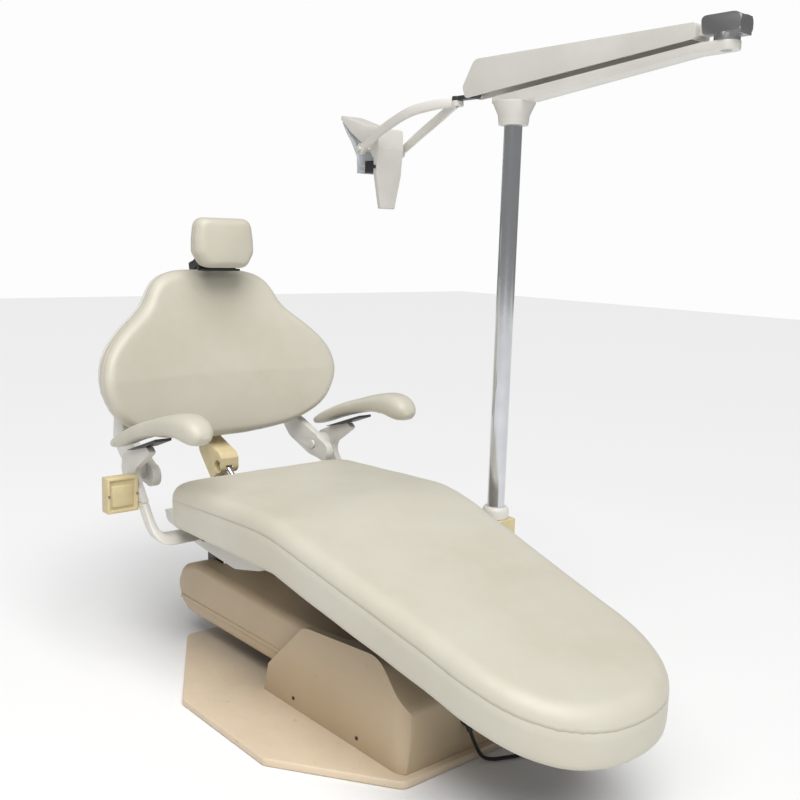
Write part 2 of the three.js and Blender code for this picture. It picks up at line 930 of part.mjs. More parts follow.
function addHeadrest() {
  const { barWidth, barThickness, barLength, pivot, halfWidth } = HEADREST;
  const half = barWidth / 2;
  const bar = block(-half, half, 4, 4 + barThickness, -95, barLength);
  const slideway = cut(
    leaned(block(-half - 14, half + 14, -34, 26, 6, 76)),
    leaned(block(-half - GAP, half + GAP, 4 - GAP, 4 + barThickness + GAP, -20, 110)),
    backSlab(
      () => -10,
      (z) => shellBack(z) + GAP,
      1,
    ),
  );
  add("headrest_guide", slideway, blackPlastic);
  const barGeometry = leaned(bar);
  const barEar = crossBar(pivot, 11, -18, 18);
  const neck = sidePrism(
    [
      [672, 996],
      [698, 996],
      [698, 1020],
      [672, 1020],
    ],
    -18,
    18,
  );
  const clevisBore = crossBar(pivot, 5.4, -30, 30, 16);
  add("headrest_bar", cut(join(barGeometry, neck, barEar), clevisBore), chrome);
  const panArm = [
    [583.5, 1030],
    [650, 1010],
    [668, 1002],
    [684, 1002],
    [688, 1012],
    [684, 1022],
    [664, 1028],
    [600, 1072],
    [583.5, 1076],
  ];
  const pan = join(
    block(-58, 58, 577, 584, 1003, 1120),
    block(-56, 56, 552, 578, 1003, 1009),
    sidePrism(panArm, 20, 28),
    sidePrism(panArm, -28, -20),
    crossBar(pivot, 5, -28, 54, 16),
  );
  add("headrest_pan", pan, blackPlastic);
  const pillowSide = rounded(
    [
      [516, 1012],
      [576.7, 1012],
      [576.7, 1146],
      [528, 1146],
    ],
    [26, 16, 14, 24],
    5,
  );
  const pillowFront = rounded(
    [
      [-60, 1010],
      [60, 1010],
      [halfWidth, 1052],
      [halfWidth, 1086],
      [82, 1150],
      [-82, 1150],
      [-halfWidth, 1086],
      [-halfWidth, 1052],
    ],
    [24, 24, 26, 20, 28, 28, 20, 26],
    5,
  );
  const pillow = common(
    sidePrism(pillowSide, -halfWidth, halfWidth),
    frontPrism(pillowFront, 500, 600),
  );
  add("headrest_cushion", pillow, upholstery);
  const lever = join(
    cut(crossBar(pivot, 12, 42, 52), crossBar(pivot, 5.4, 30, 60, 16)),
    sidePrism(
      rounded(
        [
          [683, 1018],
          [738, 1007],
          [736, 996],
          [683, 1005],
        ],
        3,
      ),
      43,
      51,
    ),
  );
  const leverBore = crossBar(pivot, 5.4, 30, 60, 16);
  add("headrest_lever", cut(lever, leverBore), blackPlastic);
}

// --------------------------------------------------------------------- light
function addLightPost() {
  const { x, y, radius, bore, foot, top } = POST;
  add("post_outrigger", block(FRAME_HALF + GAP, 366, -118, -68, 335, 361), darkSteel);
  const postBore = rod([x, y, foot], [x, y, 500], radius + GAP, 24);
  add("post_block", cut(block(366 + GAP, 436, -175, -66, 340, 402), postBore), blockPlastic);
  const tube = turned(
    [
      [bore, foot + 2],
      [radius, foot + 2],
      [radius, top],
      [bore, top],
      [bore, foot + 2],
    ],
    x,
    y,
  );
  add("light_post", tube, chrome);
  const inner = radius + GAP;
  const collar = turned(
    [
      [inner, 402 + GAP],
      [34, 402 + GAP],
      [34, 424],
      [29, 432],
      [inner, 432],
      [inner, 402 + GAP],
    ],
    x,
    y,
  );
  add("post_collar", collar, creamPlastic);
}

function rigidArm() {
  const { x, y, bore, top } = POST;
  const hub = turned(
    [
      [0, top - 130],
      [bore - 0.5, top - 130],
      [bore - 0.5, top + GAP],
      [36, top + GAP],
      [39, 1408],
      [52, 1436],
      [52, 1440],
      [0, 1440],
    ],
    x,
    y,
  );
  const beam = sidePrism(
    [
      [-82, 1438],
      [-82, 1452],
      [-100, 1455],
      [-660, 1511],
      [-735, 1511],
      [-735, 1494],
      [-640, 1492],
      [-195, 1438],
    ],
    x - 24,
    x + 24,
  );
  const plan = rounded(
    [
      [x - 24, -732],
      [x + 24, -732],
      [x + 24, -80],
      [x - 24, -80],
    ],
    [24, 24, 8, 8],
    6,
  );
  const spindleBore = rod([x, ELBOW_Y, 1480], [x, ELBOW_Y, 1520], 11.5, 20);
  return cut(join(hub, common(beam, planPrism(plan, 1400, 1540))), spindleBore);
}

function elbowHub() {
  const { x } = POST;
  const disc = rod([x, ELBOW_Y, 1511.4], [x, ELBOW_Y, 1526], 26, 24);
  const spindle = rod([x, ELBOW_Y, 1493], [x, ELBOW_Y, 1514], 11, 20);
  const cheekOutline = rounded(
    [
      [-746, 1524],
      [-664, 1524],
      [-656, 1562],
      [-746, 1562],
    ],
    [10, 10, 12, 18],
  );
  const cheek = (x0) => sidePrism(cheekOutline, x0, x0 + 9);
  const heel = block(x - 20, x + 20, -746, -724, 1520, 1556);
  const pin = crossBar(FLEX_PIVOT, 6, x - 20, x + 20, 16);
  return join(disc, spindle, cheek(x - 24), cheek(x + 15), heel, pin);
}

function flexArm() {
  const { x } = POST;
  const outline = rounded(
    [
      [-648, 1520],
      [-30, 1461],
      [8, 1458],
      [19, 1486],
      [-20, 1549],
      [-648, 1552],
    ],
    [6, 0, 10, 14, 26, 8],
  );
  const hollow = [
    [-640, 1500],
    [5, 1440],
    [5, 1478],
    [-26, 1545],
    [-640, 1548],
  ];
  const shell = cut(
    sidePrism(outline, x - 27, x + 27),
    sidePrism(hollow, x - 23.5, x + 23.5),
    block(x - 15, x + 15, -10, 40, 1440, 1486),
  );
  const tongue = sidePrism(eyesOutline(FLEX_PIVOT, 13, [-632, 1536], 10), x - 12, x + 12);
  const nosePin = crossBar(NOSE_PIVOT, 5, x - 25, x + 25, 16);
  return join(cut(tongue, crossBar(FLEX_PIVOT, 6.5, x - 20, x + 20, 16)), shell, nosePin);
}

function noseKnuckle() {
  const { x } = POST;
  const [pivotY, pivotZ] = NOSE_PIVOT;
  const eye = crossBar(NOSE_PIVOT, 10, x - 12, x + 12);
  const neck = block(x - 12, x + 12, pivotY, 50, 1459, 1469);
  const ring = rod([x, YOKE_Y, 1459], [x, YOKE_Y, 1469], 15, 20);
  const pin = rod([x, YOKE_Y, 1444], [x, YOKE_Y, 1462], 6, 16);
  const bore = crossBar([pivotY, pivotZ], 5.5, x - 30, x + 30, 16);
  return cut(join(eye, neck, ring, pin), bore);
}

function lightYoke() {
  const { x } = POST;
  const section = circle([0, 0], 7.5, 6);
  const arm = (side) =>
    barAlong(
      [
        [x + side * 4, 70, 1451.5],
        [x + side * 30, 120, 1448],
        [x + side * 60, 190, 1432],
        [x + side * 70, 280, 1392],
        [x + side * 70, HEAD_AXIS[0], HEAD_AXIS[1]],
      ],
      section,
      10,
    );
  const hub = rod([x, YOKE_Y, 1444], [x, YOKE_Y, 1458.6], 15, 20);
  const eye = (side) => {
    const [x0, x1] = side > 0 ? [x + 62, x + 78] : [x - 78, x - 62];
    return crossBar(HEAD_AXIS, 15, x0, x1);
  };
  const solidYoke = join(hub, arm(1), arm(-1), eye(1), eye(-1));
  return cut(
    solidYoke,
    rod([x, YOKE_Y, 1430], [x, YOKE_Y, 1480], 6.4, 16),
    crossBar(HEAD_AXIS, 6.4, x - 90, x + 90, 16),
  );
}

// The head from in front, narrowing towards both wing tips.
function headTaper() {
  const { x } = POST;
  const outline = [
    [x - 24, 1180],
    [x + 24, 1180],
    [x + HEAD_HALF, 1284],
    [x + HEAD_HALF, 1400],
    [x + 34, 1456],
    [x - 34, 1456],
    [x - HEAD_HALF, 1400],
    [x - HEAD_HALF, 1284],
  ];
  return frontPrism(outline, 300, 540);
}

// A folded casting that carries the upper and lower reflector wings.
function headCasting() {
  const { x } = POST;
  const outline = rounded(
    [
      [331, 1186],
      [343, 1186],
      [343, 1321],
      [356, 1336],
      [384, 1358],
      [442, 1394],
      [508, 1440],
      [505, 1450],
      [382, 1411],
      [327, 1404],
      [323, 1350],
      [329, 1300],
    ],
    [4, 4, 8, 8, 20, 30, 4, 4, 30, 8, 20, 20],
    3,
  );
  const trunnion = crossBar(HEAD_AXIS, 6, x - 84, x + 84, 12);
  return join(common(sidePrism(outline, x - HEAD_HALF, x + HEAD_HALF), headTaper()), trunnion);
}

function frontShield() {
  const { x } = POST;
  const outline = [
    [498, 1431],
    [446, 1372],
    [419, 1331],
    [416, 1284],
    [411, 1284],
    [413, 1333],
    [439, 1376],
    [489, 1425],
  ];
  const stay = block(x - 30, x + 30, 396 + GAP, 414, 1296, 1308);
  return join(common(sidePrism(outline, x - HEAD_HALF, x + HEAD_HALF), headTaper()), stay);
}

function addLight() {
  const { x } = POST;
  addLightPost();
  add("rigid_arm", rigidArm(), creamPaint);
  add("elbow_hub", elbowHub(), steel);
  add("flex_arm_housing", flexArm(), creamPaint);
  add("nose_knuckle", noseKnuckle(), darkSteel);
  add("light_yoke", lightYoke(), creamPaint);
  add("head_casting", headCasting(), creamPlastic);
  add("front_shield", frontShield(), lampGlass);
  add("lamp_module", block(x - 34, x + 34, 343 + GAP, 396, 1284, 1318), blackPlastic);
  const edge = x - HEAD_HALF;
  const button = rod([edge - 7, 336, 1300], [edge - GAP, 336, 1300], 5, 12);
  add("light_switch", button, blackPlastic);
}

// ---------------------------------------------------------------------- cord
// Down the cover's front, over the plate's edge and across the floor.
const CORD_ROUTE = [
  [3.06, -467.62, 71.5],
  [4.5, -472.7, 60.9],
  [11, -474, 46],
  [20, -472.5, 31],
  [28, -474, 17],
  [34, -482, 7],
  [50, -493, 4.4],
  [75, -504, 4.4],
  [110, -518, 4.4],
  [160, -533, 4.4],
  [210, -538, 4.4],
  [250, -531, 4.4],
  [281.1, -514.2, 4.4],
];

function addCord() {
  const gland = join(
    rod([0, -440, 96], [0, -457, 96], 8.5, 14),
    rod([0, -455, 96], [0, -461, 96], 14, 14),
    rod([0, -457, 94], [3, -467.4, 72], 6.5, 14),
  );
  add("cord_gland", gland, blackPlastic);
  const section = circle([0, 0], CORD.radius, CORD.sides);
  add("power_cord", barAlong(CORD_ROUTE, section, 40), blackPlastic);
  const { x, y, inner, outer, height } = COIL;
  const ring = turned(
    [
      [inner, 0.1],
      [outer, 0.1],
      [outer, height],
      [inner, height],
      [inner, 0.1],
    ],
    x,
    y,
    28,
  );
  add("power_cord_coil", ring, blackPlastic);
  const angle = THREE.MathUtils.degToRad(25);
  const at = (distance, z = 13.2) => [
    x + distance * Math.cos(angle),
    y + distance * Math.sin(angle),
    z,
  ];
  const blade = (side) =>
    block(-0.9, 0.9, 0, 22, -4, 4)
      .translate(side * 6, 0, 0)
      .rotateZ(angle - Math.PI / 2)
      .translate(...at(108));
  const body = rod(at(72), at(110), 12.9, 14);
  const relief = rod(at(outer + 0.6), at(80), 3.6, 10);
  add("power_plug", join(body, relief, blade(1), blade(-1)), blackPlastic);
}

addBase();
addLift();
addSeatCarriage();
addBack();
addHeadrest();
addLight();
addCord();

export default part;
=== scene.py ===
"""A dental patient chair with an operating light on a post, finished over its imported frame."""

import json
import math

import bmesh
import bpy
import numpy as np
from bpy.props import (
    FloatProperty,
    FloatVectorProperty,
    IntProperty,
    PointerProperty,
)
from mathutils import Matrix, Vector


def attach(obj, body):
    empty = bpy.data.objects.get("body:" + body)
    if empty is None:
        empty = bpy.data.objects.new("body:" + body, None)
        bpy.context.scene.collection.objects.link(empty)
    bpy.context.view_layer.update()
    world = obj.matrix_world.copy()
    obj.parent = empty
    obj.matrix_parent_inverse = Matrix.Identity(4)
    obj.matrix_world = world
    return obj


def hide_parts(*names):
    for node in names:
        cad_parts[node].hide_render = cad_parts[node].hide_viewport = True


bl_info = {
    "name": "Dental patient chair",
    "version": (1, 0, 0),
    "blender": (4, 5, 0),
    "location": "View3D > Sidebar > Dental Chair",
    "description": "Upholstery, covers, post light and cord of a dental patient chair",
    "category": "Add Mesh",
}

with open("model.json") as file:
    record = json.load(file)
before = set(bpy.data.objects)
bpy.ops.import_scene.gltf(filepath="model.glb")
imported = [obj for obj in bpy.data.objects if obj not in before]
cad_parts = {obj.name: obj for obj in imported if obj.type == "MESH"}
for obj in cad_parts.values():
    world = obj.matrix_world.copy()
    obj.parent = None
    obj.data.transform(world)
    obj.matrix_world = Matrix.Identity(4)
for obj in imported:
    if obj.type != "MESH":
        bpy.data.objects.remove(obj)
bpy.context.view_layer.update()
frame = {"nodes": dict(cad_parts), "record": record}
MM = 0.001

POST_X = 0.400
COIL_CENTRE = (0.330, -0.480)
NOSE_SWIVEL = (POST_X, 0.062, 1.4586)
HEAD_AXIS = (0.365, 1.347)


# ------------------------------------------------------------------ settings
def colour(name, default, description):
    return FloatVectorProperty(
        name=name, description=description, subtype="COLOR", size=3, default=default, min=0, max=1
    )


def length(name, default, description):
    return FloatProperty(name=name, description=description, default=default, unit="LENGTH")


class UpholsterySettings(bpy.types.PropertyGroup):
    """Sizes and colours of the cushions."""

    vinyl: colour("Vinyl", (0.585, 0.56, 0.475), "Colour of the upholstery vinyl")
    vinyl_worn: colour("Worn vinyl", (0.52, 0.485, 0.385), "Colour where the vinyl has yellowed")
    thread: colour("Thread", (0.55, 0.52, 0.43), "Colour of the seam thread")
    seat_roll: length("Seat edge", 0.034, "Radius of the seat's upper edge")
    back_roll: length("Back edge", 0.027, "Radius of the back's front edge")
    seam_depth: length("Seam depth", 0.0014, "How far a seam sinks in")
    stitch_pitch: length("Stitch pitch", 0.0048, "Distance from stitch to stitch")


class PaintSettings(bpy.types.PropertyGroup):
    """Colours of the painted and moulded pieces."""

    cover_tan: colour("Cover", (0.52, 0.405, 0.265), "Paint of the pump and lift covers")
    plate_tan: colour("Base plate", (0.70, 0.575, 0.42), "Paint of the base plate")
    arm_cream: colour("Arms", (0.72, 0.70, 0.65), "Paint of the arm slings and light arms")
    block_cream: colour("Blocks", (0.68, 0.57, 0.33), "Yellowed plastic of the blocks")
    edge_radius: length("Edge radius", 0.0018, "Rounding of machined edges")
    cover_edge: length("Cover edge", 0.016, "Rounding of the folded cover edges")


class CordSettings(bpy.types.PropertyGroup):
    """Sizes of the mains cord and its coil."""

    diameter: length("Diameter", 0.008, "Outside diameter of the cord")
    coil_radius: length("Coil radius", 0.058, "Radius of the coil's outer turn")
    turns: IntProperty(name="Turns", description="Turns in each of two layers", default=3, min=1)


class StageSettings(bpy.types.PropertyGroup):
    """Light and floor."""

    floor: colour("Floor", (0.86, 0.86, 0.86), "Colour of the floor")
    overhead_power: FloatProperty(
        name="Overhead light", description="Strength of the wide overhead light", default=2.85
    )
    softbox_power: FloatProperty(name="Softbox", description="Power of the softbox", default=22)
    room_light: FloatProperty(name="Room", description="Strength of the light all round", default=0.27)


def settings(name):
    return getattr(bpy.context.scene, "chair_" + name)


# ----------------------------------------------------------------- materials
def shader(name):
    material = bpy.data.materials.new(name)
    material.use_nodes = True
    nodes = material.node_tree.nodes
    return material, nodes, material.node_tree.links, nodes["Principled BSDF"]


def finish(
    name,
    base,
    second=None,
    roughness=0.5,
    spread=0.08,
    metallic=0.0,
    blotch=5.0,
    grain=("noise", 900.0, 0.00008),
    scuff=0.0,
    sheen=0.0,
    coat=0.0,
    anisotropic=0.0,
):
    """A procedural finish: mottled colour, uneven gloss, fine grain and scuffs."""
    found = bpy.data.materials.get(name)
    if found:
        return found
    material, nodes, links, bsdf = shader(name)
    place = nodes.new("ShaderNodeTexCoord").outputs["Object"]
    second = second or [channel * 0.86 for channel in base]

    cloud = nodes.new("ShaderNodeTexNoise")
    cloud.inputs["Scale"].default_value = blotch
    cloud.inputs["Detail"].default_value = 5
    cloud.inputs["Roughness"].default_value = 0.62
    links.new(place, cloud.inputs["Vector"])
    tint = nodes.new("ShaderNodeValToRGB")
    tint.color_ramp.elements[0].position = 0.32
    tint.color_ramp.elements[1].position = 0.72
    tint.color_ramp.elements[0].color = (*base, 1)
    tint.color_ramp.elements[1].color = (*second, 1)
    links.new(cloud.outputs["Fac"], tint.inputs["Fac"])
    shade = tint.outputs["Color"]

    if scuff:
        marks = nodes.new("ShaderNodeTexNoise")
        marks.inputs["Scale"].default_value = 46
        marks.inputs["Detail"].default_value = 8
        marks.inputs["Distortion"].default_value = 1.8
        links.new(place, marks.inputs["Vector"])
        worn = nodes.new("ShaderNodeValToRGB")
        worn.color_ramp.elements[0].position = 0.66
        worn.color_ramp.elements[1].position = 0.78
        worn.color_ramp.elements[1].color = (scuff, scuff, scuff, 1)
        links.new(marks.outputs["Fac"], worn.inputs["Fac"])
        mix = nodes.new("ShaderNodeMix")
        mix.data_type = "RGBA"
        links.new(worn.outputs["Color"], mix.inputs["Factor"])
        links.new(shade, mix.inputs["A"])
        mix.inputs["B"].default_value = (*[channel * 0.55 for channel in base], 1)
        shade = mix.outputs["Result"]
    links.new(shade, bsdf.inputs["Base Color"])

    gloss = nodes.new("ShaderNodeMapRange")
    gloss.inputs["To Min"].default_value = max(0.02, roughness - spread)
    gloss.inputs["To Max"].default_value = roughness + spread
    links.new(cloud.outputs["Fac"], gloss.inputs["Value"])
    links.new(gloss.outputs["Result"], bsdf.inputs["Roughness"])

    kind, scale, depth = grain
    if kind == "leather":
        pores = nodes.new("ShaderNodeTexVoronoi")
        pores.feature = "SMOOTH_F1"
        pores.inputs["Smoothness"].default_value = 0.6
        pores.inputs["Scale"].default_value = scale
        height = pores.outputs["Distance"]
    elif kind == "brushed":
        stretch = nodes.new("ShaderNodeMapping")
        stretch.inputs["Scale"].default_value = (1, 1, 0.03)
        pores = nodes.new("ShaderNodeTexNoise")
        pores.inputs["Scale"].default_value = scale
        links.new(place, stretch.inputs["Vector"])
        links.new(stretch.outputs["Vector"], pores.inputs["Vector"])
        height = pores.outputs["Fac"]
    else:
        pores = nodes.new("ShaderNodeTexNoise")
        pores.inputs["Scale"].default_value = scale
        pores.inputs["Detail"].default_value = 3
        height = pores.outputs["Fac"]
    if kind != "brushed":
        links.new(place, pores.inputs["Vector"])
    bump = nodes.new("ShaderNodeBump")
    bump.inputs["Strength"].default_value = 0.6
    bump.inputs["Distance"].default_value = depth
    links.new(height, bump.inputs["Height"])
    links.new(bump.outputs["Normal"], bsdf.inputs["Normal"])

    bsdf.inputs["Metallic"].default_value = metallic
    bsdf.inputs["Sheen Weight"].default_value = sheen
    bsdf.inputs["Coat Weight"].default_value = coat
    bsdf.inputs["Coat Roughness"].default_value = 0.25
    bsdf.inputs["Anisotropic"].default_value = anisotropic
    return material


def vinyl():
    look = settings("upholstery")
    return finish(
        "greige_vinyl",
        look.vinyl,
        look.vinyl_worn,
        roughness=0.46,
        blotch=3.2,
        grain=("leather", 520.0, 0.00016),
        sheen=0.12,
        coat=0.06,
    )


def thread():
    return finish("seam_thread", settings("upholstery").thread, roughness=0.8)


def cover_paint():
    tan = settings("paint").cover_tan
    return finish(
        "tan_cover_paint", tan, [c * 0.9 for c in tan], 0.42, blotch=4, scuff=0.5, coat=0.12
    )


def plate_paint():
    tan = settings("paint").plate_tan
    return finish(
        "base_plate_paint", tan, [c * 0.88 for c in tan], 0.5, blotch=6, scuff=0.8, coat=0.05
    )


def arm_paint():
    return finish("cream_arm_paint", settings("paint").arm_cream, roughness=0.34, coat=0.25)


def cream_plastic():
    cream = settings("paint").arm_cream
    return finish("cream_moulding", [c * 0.97 for c in cream], roughness=0.45)


def block_plastic():
    cream = settings("paint").block_cream
    return finish("yellowed_block_moulding", cream, [c * 0.8 for c in cream], 0.5, blotch=18)


def chrome():
    return finish(
        "polished_chrome", (0.72, 0.73, 0.75), (0.62, 0.63, 0.66), 0.14, 0.05,
        metallic=1.0,
        blotch=14,
        grain=("brushed", 700.0, 0.00002),
    )


def steel():
    return finish(
        "machined_steel",
        (0.42, 0.42, 0.43),
        roughness=0.34,
        metallic=1.0,
        grain=("brushed", 900.0, 0.00006),
        anisotropic=0.4,
    )


def black_steel():
    return finish("black_painted_steel", (0.035, 0.035, 0.038), roughness=0.42, scuff=0.4)


def black_plastic():
    return finish("black_moulding", (0.022, 0.022, 0.024), roughness=0.5)


def cord_rubber():
    return finish("black_mains_flex", (0.018, 0.018, 0.019), roughness=0.55)


def shield_plastic():
    found = bpy.data.materials.get("clear_shield")
    if found:
        return found
    material = finish("clear_shield", (0.93, 0.95, 0.98), (0.88, 0.91, 0.95), 0.12, 0.05)
    bsdf = material.node_tree.nodes["Principled BSDF"]
    bsdf.inputs["Transmission Weight"].default_value = 0.55
    bsdf.inputs["IOR"].default_value = 1.49
    return material


FINISHES = {
    "upholstery": vinyl,
    "tan_cover": cover_paint,
    "base_paint": plate_paint,
    "cream_paint": arm_paint,
    "cream_plastic": cream_plastic,
    "block_plastic": block_plastic,
    "steel": steel,
    "chrome": chrome,
    "dark_steel": black_steel,
    "black_plastic": black_plastic,
    "cord_rubber": cord_rubber,
    "lamp_shield": shield_plastic,
}


# ------------------------------------------------------------- mesh building
def keep(obj, body, slot_name, replaced=(), material=None, sharp=38):
    """Gives a finished mesh its finish and its body, and hides the frame nodes it stands for."""
    obj.data.materials.clear()
    obj.data.materials.append(material or FINISHES[slot_name]())
    obj.data.shade_smooth()
    obj.data.set_sharp_from_angle(angle=math.radians(sharp))
    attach(obj, body)
    if replaced:
        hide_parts(*replaced)
    return obj


def new_object(name, mesh):
    obj = bpy.data.objects.new(name, mesh)
    bpy.context.scene.collection.objects.link(obj)
    return obj


def from_bmesh(name, bm, outward=True):
    bmesh.ops.remove_doubles(bm, verts=bm.verts, dist=1e-6)
    bmesh.ops.dissolve_degenerate(bm, edges=bm.edges, dist=1e-7)
    if outward:
        bmesh.ops.recalc_face_normals(bm, faces=bm.faces)
    mesh = bpy.data.meshes.new(name)
    bm.to_mesh(mesh)
    bm.free()
    return new_object(name, mesh)


def from_faces(name, points, faces):
    bm = bmesh.new()
    verts = [bm.verts.new(Vector(p)) for p in points]
    for face in faces:
        bm.faces.new([verts[i] for i in face])
    return from_bmesh(name, bm)


def apply_modifiers(obj):
    graph = bpy.context.evaluated_depsgraph_get()
    made = bpy.data.meshes.new_from_object(obj.evaluated_get(graph))
    obj.modifiers.clear()
    obj.data = made
    return obj


def bevelled(obj, width, segments=3, angle=34):
    bevel = obj.modifiers.new("rounded edges", "BEVEL")
    bevel.width = width
    bevel.segments = segments
    bevel.limit_method = "ANGLE"
    bevel.angle_limit = math.radians(angle)
    bevel.use_clamp_overlap = True
    return apply_modifiers(obj)


def merged_copy(node):
    bm = bmesh.new()
    bm.from_mesh(frame["nodes"][node].data)
    bmesh.ops.remove_doubles(bm, verts=bm.verts, dist=2e-5)
    bmesh.ops.dissolve_limit(bm, angle_limit=math.radians(2), verts=bm.verts, edges=bm.edges)
    return from_bmesh(node + "_finished", bm, outward=False)


NODE_SLOT = {s["node"]: s["material_slot"] for s in frame["record"]["subparts"]}
NODE_BODY = {n: b for b, ns in frame["record"]["behaviour"]["bodies"].items() for n in ns}


def finished(node, width=None, segments=3, sharp=38):
    """A frame node with rounded edges and its own finish."""
    width = settings("paint").edge_radius if width is None else width
    obj = bevelled(merged_copy(node), width, segments)
    return keep(obj, NODE_BODY[node], NODE_SLOT[node], [node], sharp=sharp)


def quads_between(count, around, looped=False):
    """Quads that join each ring of points to the next, and looped the last to the first."""
    quads = []
    for i in range(count if looped else count - 1):
        low, high = i * around, (i + 1) % count * around
        for j in range(around):
            k = (j + 1) % around
            quads.append((low + j, low + k, high + k, high + j))
    return quads


def rings_mesh(name, rings):
    """Closed rings of points joined by quads, with both ends closed."""
    rings = np.asarray(rings)
    count, around = rings.shape[:2]
    faces = quads_between(count, around)
    faces.append(tuple(range(around)))
    faces.append(tuple((count - 1) * around + j for j in range(around)))
    return from_faces(name, rings.reshape(-1, 3), faces)


def lathe(name, profile, centre, around=64):
    """A profile of (radius, height) points turned about a vertical axis."""
    x, y = centre
    angles = np.arange(around) * 2 * math.pi / around
    rings = [
        [(x + r * math.cos(a), y + r * math.sin(a), z) for a in angles] for r, z in profile
    ]
    return rings_mesh(name, rings)


def catmull(points, steps):
    """A smooth line through points."""
    p = np.asarray(points, float)
    p = np.vstack([2 * p[0] - p[1], p, 2 * p[-1] - p[-2]])
    made = []
    for i in range(1, len(p) - 2):
        a, b, c, d = p[i - 1 : i + 3]
        for t in np.linspace(0, 1, steps, endpoint=False):
            square, cube = 2 * a - 5 * b + 4 * c - d, 3 * b - a - 3 * c + d
            made.append(0.5 * (2 * b + (c - a) * t + square * t**2 + cube * t**3))
    made.append(p[-2])
    return np.array(made)


def even(points, count):
    """A line again, as count points an even distance apart."""
    p = np.asarray(points, float)
    reach = np.concatenate([[0], np.cumsum(np.linalg.norm(np.diff(p, axis=0), axis=1))])
    at = np.linspace(0, reach[-1], count)
    return np.stack([np.interp(at, reach, p[:, i]) for i in range(p.shape[1])], axis=1)


def swept(name, path, radii, side=(1, 0, 0), around=24, power=2.0):
    """A bar of rounded section along a path, side giving its width direction."""
    path = np.asarray(path, float)
    side = np.asarray(side, float)
    turns = np.linspace(0, 2 * math.pi, around, endpoint=False)
    section = [
        (
            math.copysign(abs(math.cos(a)) ** (2 / power), math.cos(a)),
            math.copysign(abs(math.sin(a)) ** (2 / power), math.sin(a)),
        )
        for a in turns
    ]
    tangents = np.gradient(path, axis=0)
    rings = []
    for point, tangent, (wide, thick) in zip(path, tangents, radii):
        tangent = tangent / np.linalg.norm(tangent)
        normal = np.cross(tangent, side)
        normal /= np.linalg.norm(normal)
        across = np.cross(normal, tangent)
        rings.append([point + across * wide * c + normal * thick * s for c, s in section])
    return rings_mesh(name, rings)


def joined(name, *objects):
    bm = bmesh.new()
    for obj in objects:
        bm.from_mesh(obj.data)
        bpy.data.objects.remove(obj)
    mesh = bpy.data.meshes.new(name)
    bm.to_mesh(mesh)
    bm.free()
    return new_object(name, mesh)


def prism(name, outline, axis, low, high):
    """An outline extruded along x ("X": outline of y, z) or z ("Z": outline of x, y)."""
    place = {"X": lambda p, t: (t, p[0], p[1]), "Z": lambda p, t: (p[0], p[1], t)}[axis]
    count = len(outline)
    points = [place(p, low) for p in outline] + [place(p, high) for p in outline]
    faces = [tuple(range(count)), tuple(range(count, 2 * count))]
    faces += [(i, (i + 1) % count, count + (i + 1) % count, count + i) for i in range(count)]
    return from_faces(name, points, faces)


def round_corners(points, radii, steps=8):
    """The corners of an outline, each rounded by its own radius."""
    p = [np.asarray(q, float) for q in points]
    made = []
    for i, corner in enumerate(p):
        radius = radii[i] if hasattr(radii, "__len__") else radii
        if not radius:
            made.append(corner)
            continue
        before, after = p[i - 1] - corner, p[(i + 1) % len(p)] - corner
        lb, la = np.linalg.norm(before), np.linalg.norm(after)
        half = math.acos(np.clip(before @ after / lb / la, -1, 1)) / 2
        reach = min(radius / math.tan(half), lb * 0.49, la * 0.49)
        start, end = corner + before / lb * reach, corner + after / la * reach
        for t in np.linspace(0, 1, steps + 1):
            made.append((1 - t) ** 2 * start + 2 * t * (1 - t) * corner + t**2 * end)
    return np.array(made)


def boolean(obj, tool, operation):
    cut = obj.modifiers.new("cut", "BOOLEAN")
    cut.operation = operation
    cut.object = tool
    cut.solver = "EXACT"
    apply_modifiers(obj)
    bpy.data.objects.remove(tool)
    return obj


# ------------------------------------------------------------------ cushions
SEAM_RING = 25  # the ring of a cushion's points that lies in its seam
SEAM_DROP, BAND_DROP = 0.0016, 0.0034  # the seam and the side band below the rolled edge
BAND_INSET = 0.0016  # how far the side band's ends lie inside the outline


